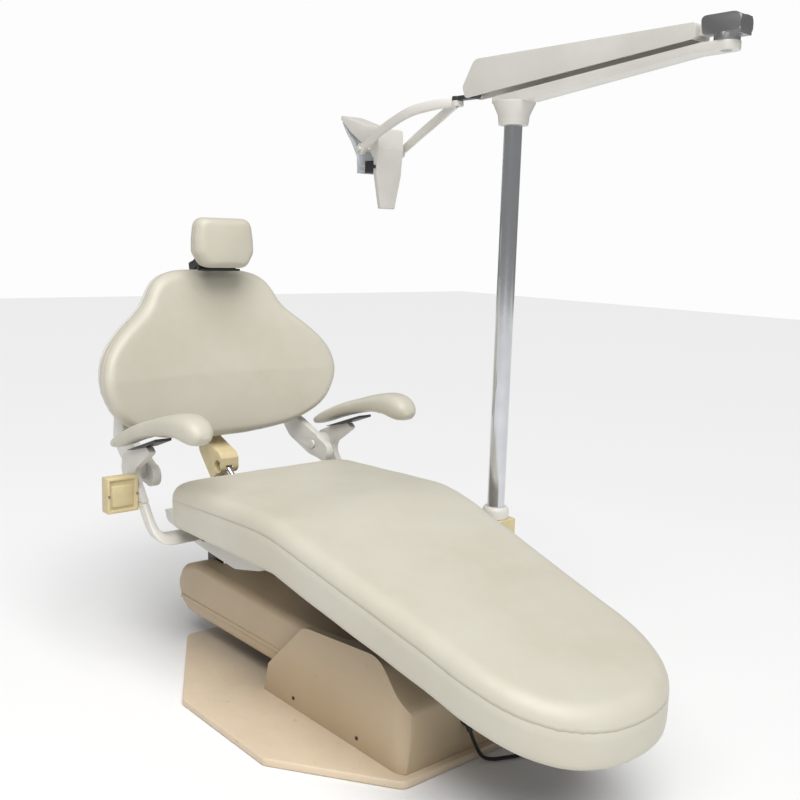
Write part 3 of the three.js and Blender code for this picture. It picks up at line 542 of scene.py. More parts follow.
def cushion(
    name, outline, anchor, face, thickness, place, rolls, crown=0.004, seam=0.0014, pucker=None
):
    """A stuffed form: a crowned face, rolled edges, a sunk seam and a flat underside.

    outline holds the widest points, anchor gives the inner point each of them shrinks
    towards, face and thickness give the height and depth at a point, and place turns a
    point and a height into a place on the chair.
    """
    outline = np.asarray(outline, float)
    inner = np.array([anchor(p) for p in outline])
    inward = inner - outline
    reach = np.linalg.norm(inward, axis=1)
    inward /= reach[:, None]
    top_roll, under_roll = rolls
    rings = []

    def ring(distance, height):
        row = []
        for p, d, r in zip(outline, inward, reach):
            gone = np.clip(distance(r), 0, r)
            q = p + d * gone
            row.append(place(q, height(q, gone / r)))
        rings.append(row)

    def face_height(drop):
        return lambda q, share: face(*q) + crown * (1 - (1 - share) ** 2.4) - drop

    for step in np.linspace(1, 0, 16, endpoint=False):
        ring(lambda r, f=step: top_roll + (r - top_roll) * f, face_height(0))
    for turn in np.linspace(90, 0, 10):
        a = math.radians(turn)
        ring(
            lambda r, a=a: top_roll * (1 - math.cos(a)),
            face_height(top_roll * (1 - math.sin(a))),
        )
    for sink, drop in ((seam, SEAM_DROP), (0.0, BAND_DROP)):
        ring(lambda r, s=sink: s, face_height(top_roll + drop))
    for share in (0.3, 0.6, 0.85):

        def band(q, _, share=share):
            high = face(*q) - top_roll - BAND_DROP
            low = face(*q) - thickness(*q) + under_roll
            return high + (low - high) * share

        bulge = BAND_INSET * math.sin(share * math.pi)
        ring(lambda r, b=bulge: BAND_INSET - b, band)
    for turn in np.linspace(0, 90, 6):
        a = math.radians(turn)
        ring(
            lambda r, a=a: BAND_INSET + under_roll * (1 - math.cos(a)),
            lambda q, _, a=a: face(*q) - thickness(*q) + under_roll * (1 - math.sin(a)),
        )
    for step in np.linspace(0, 1, 7)[1:]:
        ring(
            lambda r, f=step: under_roll + (r - under_roll) * f,
            lambda q, _: face(*q) - thickness(*q),
        )
    points = np.array(rings, float)
    if pucker is not None:
        points = pucker(points)
    bm = bmesh.new()
    verts = [bm.verts.new(Vector(p)) for p in points.reshape(-1, 3)]
    for quad in quads_between(*points.shape[:2]):
        bm.faces.new([verts[i] for i in quad])
    bmesh.ops.remove_doubles(bm, verts=bm.verts, dist=2e-5)
    return from_bmesh(name, bm), points


def soft_unevenness(points, depth, scale):
    """A gentle hand-made unevenness, the same on every run."""
    x, y, z = points[..., 0] * scale, points[..., 1] * scale, points[..., 2] * scale
    broad = np.sin(1.7 * x + 2.3 * y) * np.cos(2.1 * y - 1.3 * z)
    wave = broad + 0.5 * np.sin(3.9 * x - 4.3 * y + z)
    moved = points.copy()
    moved[..., 2] += wave * depth
    return moved


def bezier(a, b, c, d, count=24):
    t = np.linspace(0, 1, count)[:, None]
    a, b, c, d = (np.asarray(v, float) for v in (a, b, c, d))
    return (1 - t) ** 3 * a + 3 * t * (1 - t) ** 2 * b + 3 * t**2 * (1 - t) * c + t**3 * d


def both_sides(right, count):
    """A closed outline from its right half, evenly spaced and the same on both sides."""
    half = even(right, count // 2 + 1)
    left = half[1:-1][::-1] * (-1, 1)
    return np.vstack([half, left])


def seat_outline():
    rear, half, foot, tip = 0.352, 0.283, 0.236, -0.893
    corner = bezier(
        (half - 0.062, rear), (half - 0.02, rear), (half, rear - 0.02), (half, rear - 0.062)
    )
    side = bezier((half, -0.060), (half, -0.220), (foot + 0.014, -0.420), (foot, -0.620))
    end = bezier((foot, -0.620), (foot - 0.004, tip + 0.105), (foot - 0.071, tip), (0, tip))
    return both_sides(np.vstack([[(0, rear)], corner, side, end[1:]]), 300)


def seat_top(x, y):
    thigh = 0.488 + (0.352 - y) * 0.0394
    calf = 0.5065 + (y + 0.105) * 0.2614
    soft = 0.0085
    return -soft * math.log(math.exp(-thigh / soft) + math.exp(-calf / soft)) - 0.05 * x * x


def seat_depth(x, y):
    under = 0.378 if y > -0.122 else 0.378 + (y + 0.122) * 0.2463
    return seat_top(x, y) - under


def seat_anchor(p):
    return np.array((0.0, np.clip(p[1], -0.68, 0.16)))


def foot_puckers(points):
    """Small gathers where the top is sewn round the foot of the leg rest."""
    points = soft_unevenness(points, 0.0005, 11)
    edge = points[SEAM_RING]
    run = np.concatenate([[0], np.cumsum(np.linalg.norm(np.diff(edge, axis=0), axis=1))])
    start, fade, spacing, between, reach, height = -0.70, 0.10, 0.021, 0.0137, 0.016, 0.0010
    foot = np.clip((start - edge[:, 1]) / fade, 0, 1)
    wave = np.sin(run * 2 * math.pi / spacing) + 0.4 * np.sin(run * 2 * math.pi / between + 1)
    for i in range(len(points)):
        away = np.linalg.norm(points[i] - edge, axis=1)
        strength = np.exp(-((away / reach) ** 2)) * foot * wave * height
        points[i, :, 2] += strength
    return points


BACK_EDGE = [
    (0.062, 0.543), (0.092, 0.545), (0.130, 0.549), (0.166, 0.554), (0.206, 0.562), (0.242, 0.574),
    (0.272, 0.588), (0.296, 0.602), (0.317, 0.618), (0.334, 0.638), (0.346, 0.660), (0.358, 0.690),
    (0.362, 0.720), (0.359, 0.748), (0.350, 0.776), (0.331, 0.806), (0.303, 0.835), (0.276, 0.858),
    (0.247, 0.880), (0.222, 0.902), (0.205, 0.925), (0.191, 0.950), (0.174, 0.972), (0.153, 0.987),
    (0.132, 0.995), (0.104, 1.001), (0.070, 1.003),
]
BACK_LINE = [
    (0.484, 0.534), (0.587, 0.534), (0.650, 0.538), (0.723, 0.545), (0.850, 0.571), (1.000, 0.605),
]


def back_outline():
    edge = catmull([(0.0, 0.5425), *BACK_EDGE, (0.0, 1.004)], 8)
    return both_sides(edge, 260)


def back_front(x, z):
    """How far forward the back's face stands, positive towards the feet."""
    line = np.array(BACK_LINE)
    return -(np.interp(z, line[:, 0], line[:, 1]) - 0.39 * x * x)


def back_depth(x, z):
    return float(np.interp(z, (0.850, 1.000), (0.060, 0.045)))


# --------------------------------------------------------------- node graphs
def group_inputs(tree, sockets):
    for name, kind, default in sockets:
        socket = tree.interface.new_socket(name=name, in_out="INPUT", socket_type=kind)
        if default is not None:
            socket.default_value = default
    tree.interface.new_socket(name="Geometry", in_out="OUTPUT", socket_type="NodeSocketGeometry")


def run_nodes(obj, tree, values):
    """Runs a node graph on an object and leaves its plain mesh."""
    modifier = obj.modifiers.new(tree.name, "NODES")
    modifier.node_group = tree
    for item in tree.interface.items_tree:
        if item.in_out == "INPUT" and item.name in values:
            modifier[item.identifier] = values[item.name]
    return apply_modifiers(obj)


def screw_nodes():
    """Slotted cheese-head screws on points, each along the point's facing."""
    tree = bpy.data.node_groups.get("slotted_screws")
    if tree:
        return tree
    tree = bpy.data.node_groups.new("slotted_screws", "GeometryNodeTree")
    group_inputs(
        tree,
        [
            ("Geometry", "NodeSocketGeometry", None),
            ("Head Radius", "NodeSocketFloat", 0.004),
            ("Head Height", "NodeSocketFloat", 0.002),
            ("Finish", "NodeSocketMaterial", None),
        ],
    )
    nodes, links = tree.nodes, tree.links
    inlet, outlet = nodes.new("NodeGroupInput"), nodes.new("NodeGroupOutput")
    head = nodes.new("GeometryNodeMeshCylinder")
    head.inputs["Vertices"].default_value = 20
    links.new(inlet.outputs["Head Radius"], head.inputs["Radius"])
    links.new(inlet.outputs["Head Height"], head.inputs["Depth"])
    slot = nodes.new("GeometryNodeMeshCube")
    slot.inputs["Size"].default_value = (0.03, 0.0011, 0.0016)
    lift = nodes.new("GeometryNodeTransform")
    lift.inputs["Translation"].default_value = (0, 0, 0.0012)
    cut = nodes.new("GeometryNodeMeshBoolean")
    cut.operation = "DIFFERENCE"
    spots = nodes.new("GeometryNodeInstanceOnPoints")
    facing = nodes.new("GeometryNodeInputNamedAttribute")
    facing.data_type = "FLOAT_VECTOR"
    facing.inputs["Name"].default_value = "facing"
    turn = nodes.new("FunctionNodeAlignRotationToVector")
    turn.axis = "Z"
    real = nodes.new("GeometryNodeRealizeInstances")
    paint = nodes.new("GeometryNodeSetMaterial")
    links.new(slot.outputs["Mesh"], lift.inputs["Geometry"])
    links.new(head.outputs["Mesh"], cut.inputs["Mesh 1"])
    links.new(lift.outputs["Geometry"], cut.inputs["Mesh 2"])
    links.new(inlet.outputs["Geometry"], spots.inputs["Points"])
    links.new(cut.outputs["Mesh"], spots.inputs["Instance"])
    links.new(facing.outputs["Attribute"], turn.inputs["Vector"])
    links.new(turn.outputs["Rotation"], spots.inputs["Rotation"])
    links.new(spots.outputs["Instances"], real.inputs["Geometry"])
    links.new(real.outputs["Geometry"], paint.inputs["Geometry"])
    links.new(inlet.outputs["Finish"], paint.inputs["Material"])
    links.new(paint.outputs["Geometry"], outlet.inputs["Geometry"])
    return tree


def screws(name, body, spots, radius=0.004, slot_name="steel"):
    mesh = bpy.data.meshes.new(name)
    mesh.from_pydata([place for place, _ in spots], [], [])
    facing = mesh.attributes.new("facing", "FLOAT_VECTOR", "POINT")
    facing.data.foreach_set("vector", [c for _, way in spots for c in way])
    obj = new_object(name, mesh)
    made = FINISHES[slot_name]()
    run_nodes(obj, screw_nodes(), {"Head Radius": radius, "Head Height": 0.0022, "Finish": made})
    return keep(obj, body, slot_name, material=made, sharp=30)


def stitch_nodes():
    """Short thread stitches along a line of edges."""
    tree = bpy.data.node_groups.get("seam_stitches")
    if tree:
        return tree
    tree = bpy.data.node_groups.new("seam_stitches", "GeometryNodeTree")
    group_inputs(
        tree,
        [
            ("Geometry", "NodeSocketGeometry", None),
            ("Pitch", "NodeSocketFloat", 0.0048),
            ("Length", "NodeSocketVector", (0.0017, 0.0004, 0.0004)),
            ("Finish", "NodeSocketMaterial", None),
        ],
    )
    nodes, links = tree.nodes, tree.links
    inlet, outlet = nodes.new("NodeGroupInput"), nodes.new("NodeGroupOutput")
    line = nodes.new("GeometryNodeMeshToCurve")
    spaced = nodes.new("GeometryNodeResampleCurve")
    spaced.mode = "LENGTH"
    bead = nodes.new("GeometryNodeMeshUVSphere")
    bead.inputs["Segments"].default_value = 6
    bead.inputs["Rings"].default_value = 4
    bead.inputs["Radius"].default_value = 1
    spots = nodes.new("GeometryNodeInstanceOnPoints")
    along = nodes.new("GeometryNodeInputTangent")
    turn = nodes.new("FunctionNodeAlignRotationToVector")
    turn.axis = "X"
    real = nodes.new("GeometryNodeRealizeInstances")
    paint = nodes.new("GeometryNodeSetMaterial")
    links.new(inlet.outputs["Geometry"], line.inputs["Mesh"])
    links.new(line.outputs["Curve"], spaced.inputs["Curve"])
    links.new(inlet.outputs["Pitch"], spaced.inputs["Length"])
    links.new(spaced.outputs["Curve"], spots.inputs["Points"])
    links.new(bead.outputs["Mesh"], spots.inputs["Instance"])
    links.new(along.outputs["Tangent"], turn.inputs["Vector"])
    links.new(turn.outputs["Rotation"], spots.inputs["Rotation"])
    links.new(inlet.outputs["Length"], spots.inputs["Scale"])
    links.new(spots.outputs["Instances"], real.inputs["Geometry"])
    links.new(real.outputs["Geometry"], paint.inputs["Geometry"])
    links.new(inlet.outputs["Finish"], paint.inputs["Material"])
    links.new(paint.outputs["Geometry"], outlet.inputs["Geometry"])
    return tree


def stitches(name, body, line):
    """A row of stitches along a closed line of points."""
    count = len(line)
    mesh = bpy.data.meshes.new(name)
    mesh.from_pydata([tuple(p) for p in line], [(i, (i + 1) % count) for i in range(count)], [])
    obj = new_object(name, mesh)
    look = settings("upholstery")
    run_nodes(obj, stitch_nodes(), {"Pitch": look.stitch_pitch, "Finish": thread()})
    return keep(obj, body, "upholstery", material=thread(), sharp=80)


# ----------------------------------------------------------------- operators
class CHAIR_OT_stage(bpy.types.Operator):
    """Adds the floor, the soft studio lights and the camera"""

    bl_idname = "chair.stage"
    bl_label = "Stage"

    def execute(self, context):
        look = settings("stage")
        camera = bpy.data.objects.new("camera", bpy.data.cameras.new("camera"))
        context.scene.collection.objects.link(camera)
        camera.data.sensor_width = 36
        camera.data.lens = 44.94
        camera.data.clip_end = 60
        right = (0.75857989, -0.65089608, 0.02984713)
        up = (0.08165221, 0.14040724, 0.9867212)
        back = (-0.64644371, -0.74606977, 0.15965721)
        turn = Matrix((right, up, back)).transposed().to_4x4()
        camera.matrix_world = Matrix.Translation((-1.4318, -1.8615, 1.1058)) @ turn
        context.scene.camera = camera

        size = 14
        floor = prism(
            "floor", [(-size, -size), (size, -size), (size, size), (-size, size)], "Z", -0.02, -0.0004
        )
        floor.data.materials.append(
            finish("studio_floor", look.floor, [c * 0.985 for c in look.floor], 0.7, blotch=0.6)
        )
        sun = bpy.data.objects.new("overhead_light", bpy.data.lights.new("overhead_light", "SUN"))
        sun.data.energy = look.overhead_power
        sun.data.angle = math.radians(48)
        sun.rotation_euler = Vector((0.20, 0.46, -0.86)).to_track_quat("-Z", "Y").to_euler()
        lamp = bpy.data.objects.new("softbox", bpy.data.lights.new("softbox", "AREA"))
        lamp.data.energy = look.softbox_power
        lamp.data.shape = "DISK"
        lamp.data.size = 1.6
        lamp.location = (-1.9, -1.3, 2.7)
        aim = Vector((0, 0, 0.6)) - lamp.location
        lamp.rotation_euler = aim.to_track_quat("-Z", "Y").to_euler()
        for light in (sun, lamp):
            context.scene.collection.objects.link(light)
        self.studio_walls(context)
        context.scene.view_settings.view_transform = "Standard"
        return {"FINISHED"}

    def studio_walls(self, context):
        """White walls to look at, and a weaker even light from all round."""
        world = bpy.data.worlds.new("studio")
        context.scene.world = world
        world.use_nodes = True
        nodes, links = world.node_tree.nodes, world.node_tree.links
        light = nodes["Background"]
        light.inputs["Color"].default_value = (1, 1, 1, 1)
        light.inputs["Strength"].default_value = settings("stage").room_light
        wall = nodes.new("ShaderNodeBackground")
        wall.inputs["Color"].default_value = (1, 1, 1, 1)
        wall.inputs["Strength"].default_value = 0.98
        seen = nodes.new("ShaderNodeLightPath")
        mix = nodes.new("ShaderNodeMixShader")
        links.new(seen.outputs["Is Camera Ray"], mix.inputs["Fac"])
        links.new(light.outputs["Background"], mix.inputs[1])
        links.new(wall.outputs["Background"], mix.inputs[2])
        links.new(mix.outputs["Shader"], nodes["World Output"].inputs["Surface"])


class CHAIR_OT_power_cord(bpy.types.Operator):
    """Adds the mains cord with its gland, its coil and its plug"""

    bl_idname = "chair.power_cord"
    bl_label = "Power cord"

    def execute(self, context):
        look = settings("cord")
        radius = look.diameter / 2
        rest = radius + 0.0003
        exit_point = (0.00306, -0.46762, 0.0715)
        lead = [
            exit_point,
            (0.0045, -0.4727, 0.0609), (0.0110, -0.4740, 0.0460), (0.0200, -0.4725, 0.0310),
            (0.0280, -0.4742, 0.0170), (0.0345, -0.4825, 0.0075),
            (0.0500, -0.4945, rest),
            (0.0750, -0.5060, rest),
            (0.1100, -0.5190, rest),
            (0.1600, -0.5330, rest),
            (0.2150, -0.5395, rest),
            (0.2700, -0.5398, rest),
            (0.3050, -0.5390, rest),
        ]
        line = [tuple(p) for p in catmull(lead, 5)]
        cx, cy = COIL_CENTRE
        pitch = look.diameter * 1.12
        turns = look.turns
        climb = math.radians(60)
        inner = look.coil_radius - pitch * turns
        steps = 28

        def spot(angle, r, z):
            return (cx + r * math.cos(angle), cy + r * math.sin(angle), z)

        start = -math.pi / 2
        for i in range(1, steps * turns + 1):
            share = i / steps
            line.append(spot(start + share * 2 * math.pi, look.coil_radius - pitch * share, rest))
        angle = start + turns * 2 * math.pi
        floor_two = rest + look.diameter + 0.0004
        for i in range(1, 7):
            share = i / 6
            ease = share * share * (3 - 2 * share)
            r = inner - pitch * share * climb / (2 * math.pi)
            line.append(spot(angle + climb * share, r, rest + (floor_two - rest) * ease))
        angle += climb
        inner -= pitch * climb / (2 * math.pi)
        for i in range(1, steps * turns + 1):
            share = i / steps
            line.append(spot(angle + share * 2 * math.pi, inner + pitch * share, floor_two))
        angle += turns * 2 * math.pi
        end = np.array(line[-1])
        way = np.array((-math.sin(angle), math.cos(angle), 0))
        for reach in (0.007, 0.015, 0.024):
            line.append(tuple(end + way * reach))
        points = np.array(line)
        curve = bpy.data.curves.new("power_cord_line", "CURVE")
        curve.dimensions = "3D"
        curve.bevel_depth = radius
        curve.bevel_resolution = 4
        curve.use_fill_caps = True
        spline = curve.splines.new("POLY")
        spline.points.add(len(points) - 1)
        spline.points.foreach_set("co", np.hstack([points, np.ones((len(points), 1))]).ravel())
        spline.use_smooth = True
        cord = new_object("mains_cord", curve)
        curve.materials.append(cord_rubber())
        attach(cord, "base")
        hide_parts("power_cord", "power_cord_coil")

        tip = points[-1]
        side = np.array((way[1], -way[0], 0))
        stations = [
            (-0.014, 0.0046, 0.0046), (0.000, 0.0052, 0.0052), (0.012, 0.0075, 0.0070),
            (0.016, 0.0120, 0.0095), (0.022, 0.0145, 0.0118), (0.040, 0.0150, 0.0124),
            (0.050, 0.0145, 0.0122), (0.054, 0.0130, 0.0108),
        ]
        path = [tip + way * reach for reach, _, _ in stations]
        body = swept("plug_body", path, [(w, t) for _, w, t in stations], side, 28, 2.8)
        plug = keep(body, "base", "black_plastic", ["power_plug"], sharp=50)
        prongs = []
        for offset in (-0.0065, 0.0065):
            root = tip + way * 0.053 + side * offset
            prongs.append(
                swept("prong", [root, root + way * 0.019], [(0.0008, 0.0031)] * 2, side, 12, 6.0)
            )
        blades = keep(joined("plug_blades", *prongs), "base", "steel", sharp=30)
        gland = finished("cord_gland", 0.0008, sharp=30)
        tie = self.tie(inner - pitch / 2 - radius, look.coil_radius + radius, floor_two + radius)
        return {"FINISHED"}

    def tie(self, inner, outer, top):
        """A flat band round all the turns of the coil."""
        angle = math.radians(150)
        out = np.array((math.cos(angle), math.sin(angle), 0))
        along = np.array((-out[1], out[0], 0))
        up = np.array((0, 0, 1.0))
        centre = np.array((*COIL_CENTRE, 0))
        band, half = 0.0009, 0.006
        rings = []
        for share in (-1, -0.9, 0.9, 1):
            grow = band if abs(share) < 1 else band * 0.4
            for side in (0, 1):
                low, high = inner - side * grow, outer + side * grow
                floor, roof = 0.0010 - side * 0.0009, top + side * grow
                corners = [(low, floor), (high, floor), (high, roof), (low, roof)]
                section = round_corners(corners, 0.004, 5)
                rings.append([centre + out * r + up * z + along * half * share for r, z in section])
        order = [0, 1, 3, 5, 7, 6, 4, 2]
        points = np.array([rings[i] for i in order])
        faces = quads_between(*points.shape[:2], looped=True)
        tie = from_faces("coil_tie", points.reshape(-1, 3), faces)
        return keep(tie, "base", "black_plastic", sharp=40)


class CHAIR_OT_base(bpy.types.Operator):
    """Adds the base plate, the pump cover and the machinery under it"""

    bl_idname = "chair.base"
    bl_label = "Base"

    def execute(self, context):
        finished("base_plate", 0.0045, 4)
        for node in (
            "base_frame", "pump_motor", "oil_reservoir", "control_box", "cylinder_clevis",
            "front_lower_pin", "front_upper_pin",
        ):
            finished(node)
        self.pump_cover()
        return {"FINISHED"}

    def pump_cover(self):
        half, front, floor = 0.173, -0.457, 0.0183
        side = round_corners(
            [
                (0.062, floor),
                (0.046, 0.090), (-0.096, 0.227), (-0.367, 0.250), (-0.457, 0.152),
                (-0.449, floor),
            ],
            [0, 0.014, 0.060, 0.070, 0.060, 0],
            10,
        )
        plan = round_corners(
            [(half, 0.14), (-half, 0.14), (-half, front), (half, front)], [0, 0, 0.042, 0.042], 12
        )
        shell = prism("pump_cover_folded", side, "X", -half, half)
        boolean(shell, prism("plan", plan, "Z", -0.01, 0.3), "INTERSECT")
        bm = bmesh.new()
        bm.from_mesh(shell.data)
        bmesh.ops.dissolve_limit(
            bm, angle_limit=math.radians(1), verts=bm.verts, edges=bm.edges
        )
        bm.to_mesh(shell.data)
        bm.free()
        bevelled(shell, settings("paint").cover_edge, 6, 40)
        inner = round_corners(
            [
                (0.120, -0.02), (0.120, 0.224), (-0.098, 0.224), (-0.365, 0.247), (-0.454, 0.151),
                (-0.446, -0.02),
            ],
            [0, 0, 0, 0.068, 0.058, 0],
            10,
        )
        wall = 0.003
        hollow = prism("hollow", inner, "X", -half + wall, half - wall)
        inner_plan = round_corners(
            [
                (half - wall, 0.14),
                (wall - half, 0.14),
                (wall - half, front + wall),
                (half - wall, front + wall),
            ],
            [0, 0, 0.039, 0.039],
            12,
        )
        boolean(hollow, prism("plan", inner_plan, "Z", -0.03, 0.3), "INTERSECT")
        boolean(shell, bevelled(hollow, settings("paint").cover_edge - wall, 6, 40), "DIFFERENCE")
        hole = swept(
            "cord_hole", [(0, -0.47, 0.096), (0, -0.43, 0.096)], [(0.009, 0.009)] * 2, around=32
        )
        boolean(shell, hole, "DIFFERENCE")
        slot = prism(
            "slot",
            [(-0.154, -0.242), (0.154, -0.242), (0.154, -0.060), (-0.154, -0.060)],
            "Z", 0.15, 0.27,
        )
        boolean(shell, slot, "DIFFERENCE")
        keep(shell, "base", "tan_cover", ["pump_cover"], sharp=30)


class CHAIR_OT_lift(bpy.types.Operator):
    """Adds the lift arm with its cover, the link and the lift cylinder"""

    bl_idname = "chair.lift"
    bl_label = "Lift"

    def execute(self, context):
        for node in ("lift_arm", "lift_link", "lift_cylinder", "lift_piston_rod"):
            finished(node)
        half = 0.150
        side = round_corners(
            [
                (-0.205, 0.076), (-0.205, 0.214), (0.440, 0.229), (0.516, 0.203), (0.545, 0.150),
                (0.520, 0.098), (0.480, 0.076),
            ],
            [0, 0.0, 0.09, 0.05, 0.05, 0.04, 0.03],
            10,
        )
        shell = prism("lift_arm_cover_folded", side, "X", -half, half)
        bevelled(shell, settings("paint").cover_edge * 1.25, 6, 60)
        inner = round_corners(
            [
                (-0.23, 0.04), (-0.23, 0.2105), (0.440, 0.2255), (0.513, 0.200), (0.541, 0.150),
                (0.517, 0.100), (0.478, 0.060), (0.478, 0.04),
            ],
            [0, 0, 0.088, 0.048, 0.048, 0.03, 0, 0],
            8,
        )
        hollow = prism("hollow", inner, "X", -half + 0.003, half - 0.003)
        bevelled(hollow, settings("paint").cover_edge, 4, 60)
        boolean(shell, hollow, "DIFFERENCE")
        corners = [(-0.092, 0.392), (0.092, 0.392), (0.092, 0.56), (-0.092, 0.56)]
        slot = prism("slot", corners, "Z", 0.14, 0.26)
        boolean(shell, slot, "DIFFERENCE")
        keep(shell, "lift_arm", "tan_cover", ["lift_arm_cover"], sharp=30)
        self.lower_flange(half)
        return {"FINISHED"}

    def lower_flange(self, half):
        """The pressed step along the foot of the cover's two sides."""
        for side, name in ((1, "left"), (-1, "right")):
            x = side * (half + 0.0006)
            line = [(x, y, 0.117) for y in np.linspace(-0.18, 0.512, 24)]
            bead = swept("cover_bead_" + name, line, [(0.0022, 0.006)] * 24, (1, 0, 0), 16, 2.4)
            keep(bead, "lift_arm", "tan_cover", sharp=60)


class CHAIR_OT_carriage(bpy.types.Operator):
    """Adds the upper frame, its pins, the under-seat cover and the seat plate"""

    bl_idname = "chair.carriage"
    bl_label = "Seat carriage"

    def execute(self, context):
        for node in ("upper_frame", "rear_lower_pin", "rear_upper_pin", "seat_plate"):
            finished(node)
        finished("under_seat_cover", 0.006, 4, sharp=30)
        return {"FINISHED"}


class CHAIR_OT_seat(bpy.types.Operator):
    """Adds the seat and leg-rest cushion with its seam"""

    bl_idname = "chair.seat"
    bl_label = "Seat cushion"

    def execute(self, context):
        look = settings("upholstery")
        seat, rings = cushion(
            "seat_upholstery",
            seat_outline(),
            seat_anchor,
            seat_top,
            seat_depth,
            lambda q, h: (q[0], q[1], h),
            (look.seat_roll, 0.016),
            crown=0.006,
            seam=look.seam_depth,
            pucker=foot_puckers,
        )
        keep(seat, "seat_carriage", "upholstery", ["seat_cushion"], sharp=75)
        stitches("seat_stitches", "seat_carriage", rings[SEAM_RING + 1] + (0, 0, 0.0002))
        return {"FINISHED"}


class CHAIR_OT_back(bpy.types.Operator):
    """Adds the curved back with its shell, ears, strap and cylinder"""

    bl_idname = "chair.back"
    bl_label = "Back"

    def execute(self, context):
        look = settings("upholstery")
        centre = np.array((0.0, 0.742))
        back, _ = cushion(
            "backrest_upholstery",
            back_outline(),
            lambda p: centre,
            back_front,
            back_depth,
            lambda q, h: (q[0], -h, q[1]),
            (look.back_roll, 0.012),
            crown=0.005,
            seam=look.seam_depth,
        )
        keep(back, "backrest", "upholstery", ["backrest_cushion"], sharp=75)
        finished("backrest_shell", 0.003, 3, sharp=50)
        for node in (
            "back_ear_left", "back_ear_right", "back_frame", "back_support_bar",
            "recline_cylinder", "recline_piston_rod",
        ):
            finished(node, 0.003 if "ear" in node or "bar" in node else None)
        return {"FINISHED"}


class CHAIR_OT_headrest(bpy.types.Operator):
    """Adds the headrest with its bar, guide, pan and lever"""

    bl_idname = "chair.headrest"
    bl_label = "Headrest"

    def execute(self, context):
        look = settings("upholstery")
        half = round_corners(
            [
                (0, 1.0120), (0.064, 1.0120), (0.090, 1.052),
                (0.090, 1.088), (0.083, 1.1460), (0, 1.1460),
            ],
            [0, 0.036, 0.030, 0.030, 0.030, 0],
            8,
        )
        outline = both_sides(half, 160)
        centre = np.array((0.0, 1.080))
        pillow, _ = cushion(
            "headrest_upholstery",
            outline,
            lambda p: centre,
            lambda x, z: -(0.520 + 0.09 * (z - 1.080) + 0.8 * x * x),
            lambda x, z: 0.0565 - 0.09 * (z - 1.080) - 0.8 * x * x,
            lambda q, h: (q[0], -h, q[1]),
            (0.021, 0.012),
            crown=0.007,
            seam=look.seam_depth,
        )
        keep(pillow, "headrest", "upholstery", ["headrest_cushion"], sharp=75)
        for node in ("headrest_guide", "headrest_bar", "headrest_pan", "headrest_lever"):
            finished(node)
        return {"FINISHED"}


class CHAIR_OT_arms(bpy.types.Operator):
    """Adds the two arms, each a sling, an upright, a bracket and a pad"""

    bl_idname = "chair.arms"
    bl_label = "Arms"

    def execute(self, context):
        for side, name in ((1, "left"), (-1, "right")):
            finished("arm_sling_" + name, 0.006, 4, sharp=30)
            finished("arm_upright_" + name, 0.006, 4, sharp=30)
            finished("arm_pad_bracket_" + name)
            self.pad(side, name)
        finished("accessory_block", 0.003, 3)
        return {"FINISHED"}

    def pad(self, side, name):
        stations = [
            (308, 106, 636, 3, 4), (308, 109, 638, 17, 12), (309, 118, 643, 28, 22),
            (310, 134, 650, 35, 30), (311, 156, 656, 39, 33), (313, 186, 659, 41, 31),
            (315, 222, 656, 42, 27), (317, 262, 650, 42, 23), (319, 305, 639, 41, 21),
            (320, 350, 627, 40, 20), (320, 395, 613, 38, 19), (320, 440, 597, 34, 18),
            (321, 480, 581, 30, 17), (322, 512, 568, 26, 14), (322, 532, 560, 20, 10),
            (322, 541, 556, 11, 6), (322, 544, 555, 2, 2),
        ]
        table = catmull(np.array(stations, float) * MM, 5)
        path = [(side * x, y, z) for x, y, z, _, _ in table]
        radii = [(max(w, 0.001), max(t, 0.001)) for _, _, _, w, t in table]
        pad = swept("arm_pad_upholstery_" + name, path, radii, (1, 0, 0), 40, 2.5)
        keep(pad, "seat_carriage", "upholstery", ["arm_pad_" + name], sharp=80)


class CHAIR_OT_light_post(bpy.types.Operator):
    """Adds the post of the light with its block and collar"""

    bl_idname = "chair.light_post"
    bl_label = "Light post"

    def execute(self, context):
        for node in ("post_outrigger", "post_block"):
            finished(node, 0.004, 4)
        centre = (POST_X, -0.137)
        tube = lathe(
            "light_post_tube",
            [(0.019, 0.354), (0.0222, 0.354), (0.0222, 1.3835), (0.019, 1.3835), (0.019, 0.354)],
            centre,
            72,
        )
        keep(tube, "seat_carriage", "chrome", ["light_post"], sharp=30)
        collar = lathe(
            "post_collar_turned",
            [
                (0.0226, 0.4023), (0.0325, 0.4023), (0.0340, 0.4040), (0.0340, 0.4230),
                (0.0322, 0.4270), (0.0290, 0.4320), (0.0226, 0.4320), (0.0226, 0.4023),
            ],
            centre,
            64,
        )
        keep(collar, "seat_carriage", "cream_plastic", ["post_collar"], sharp=30)
        return {"FINISHED"}


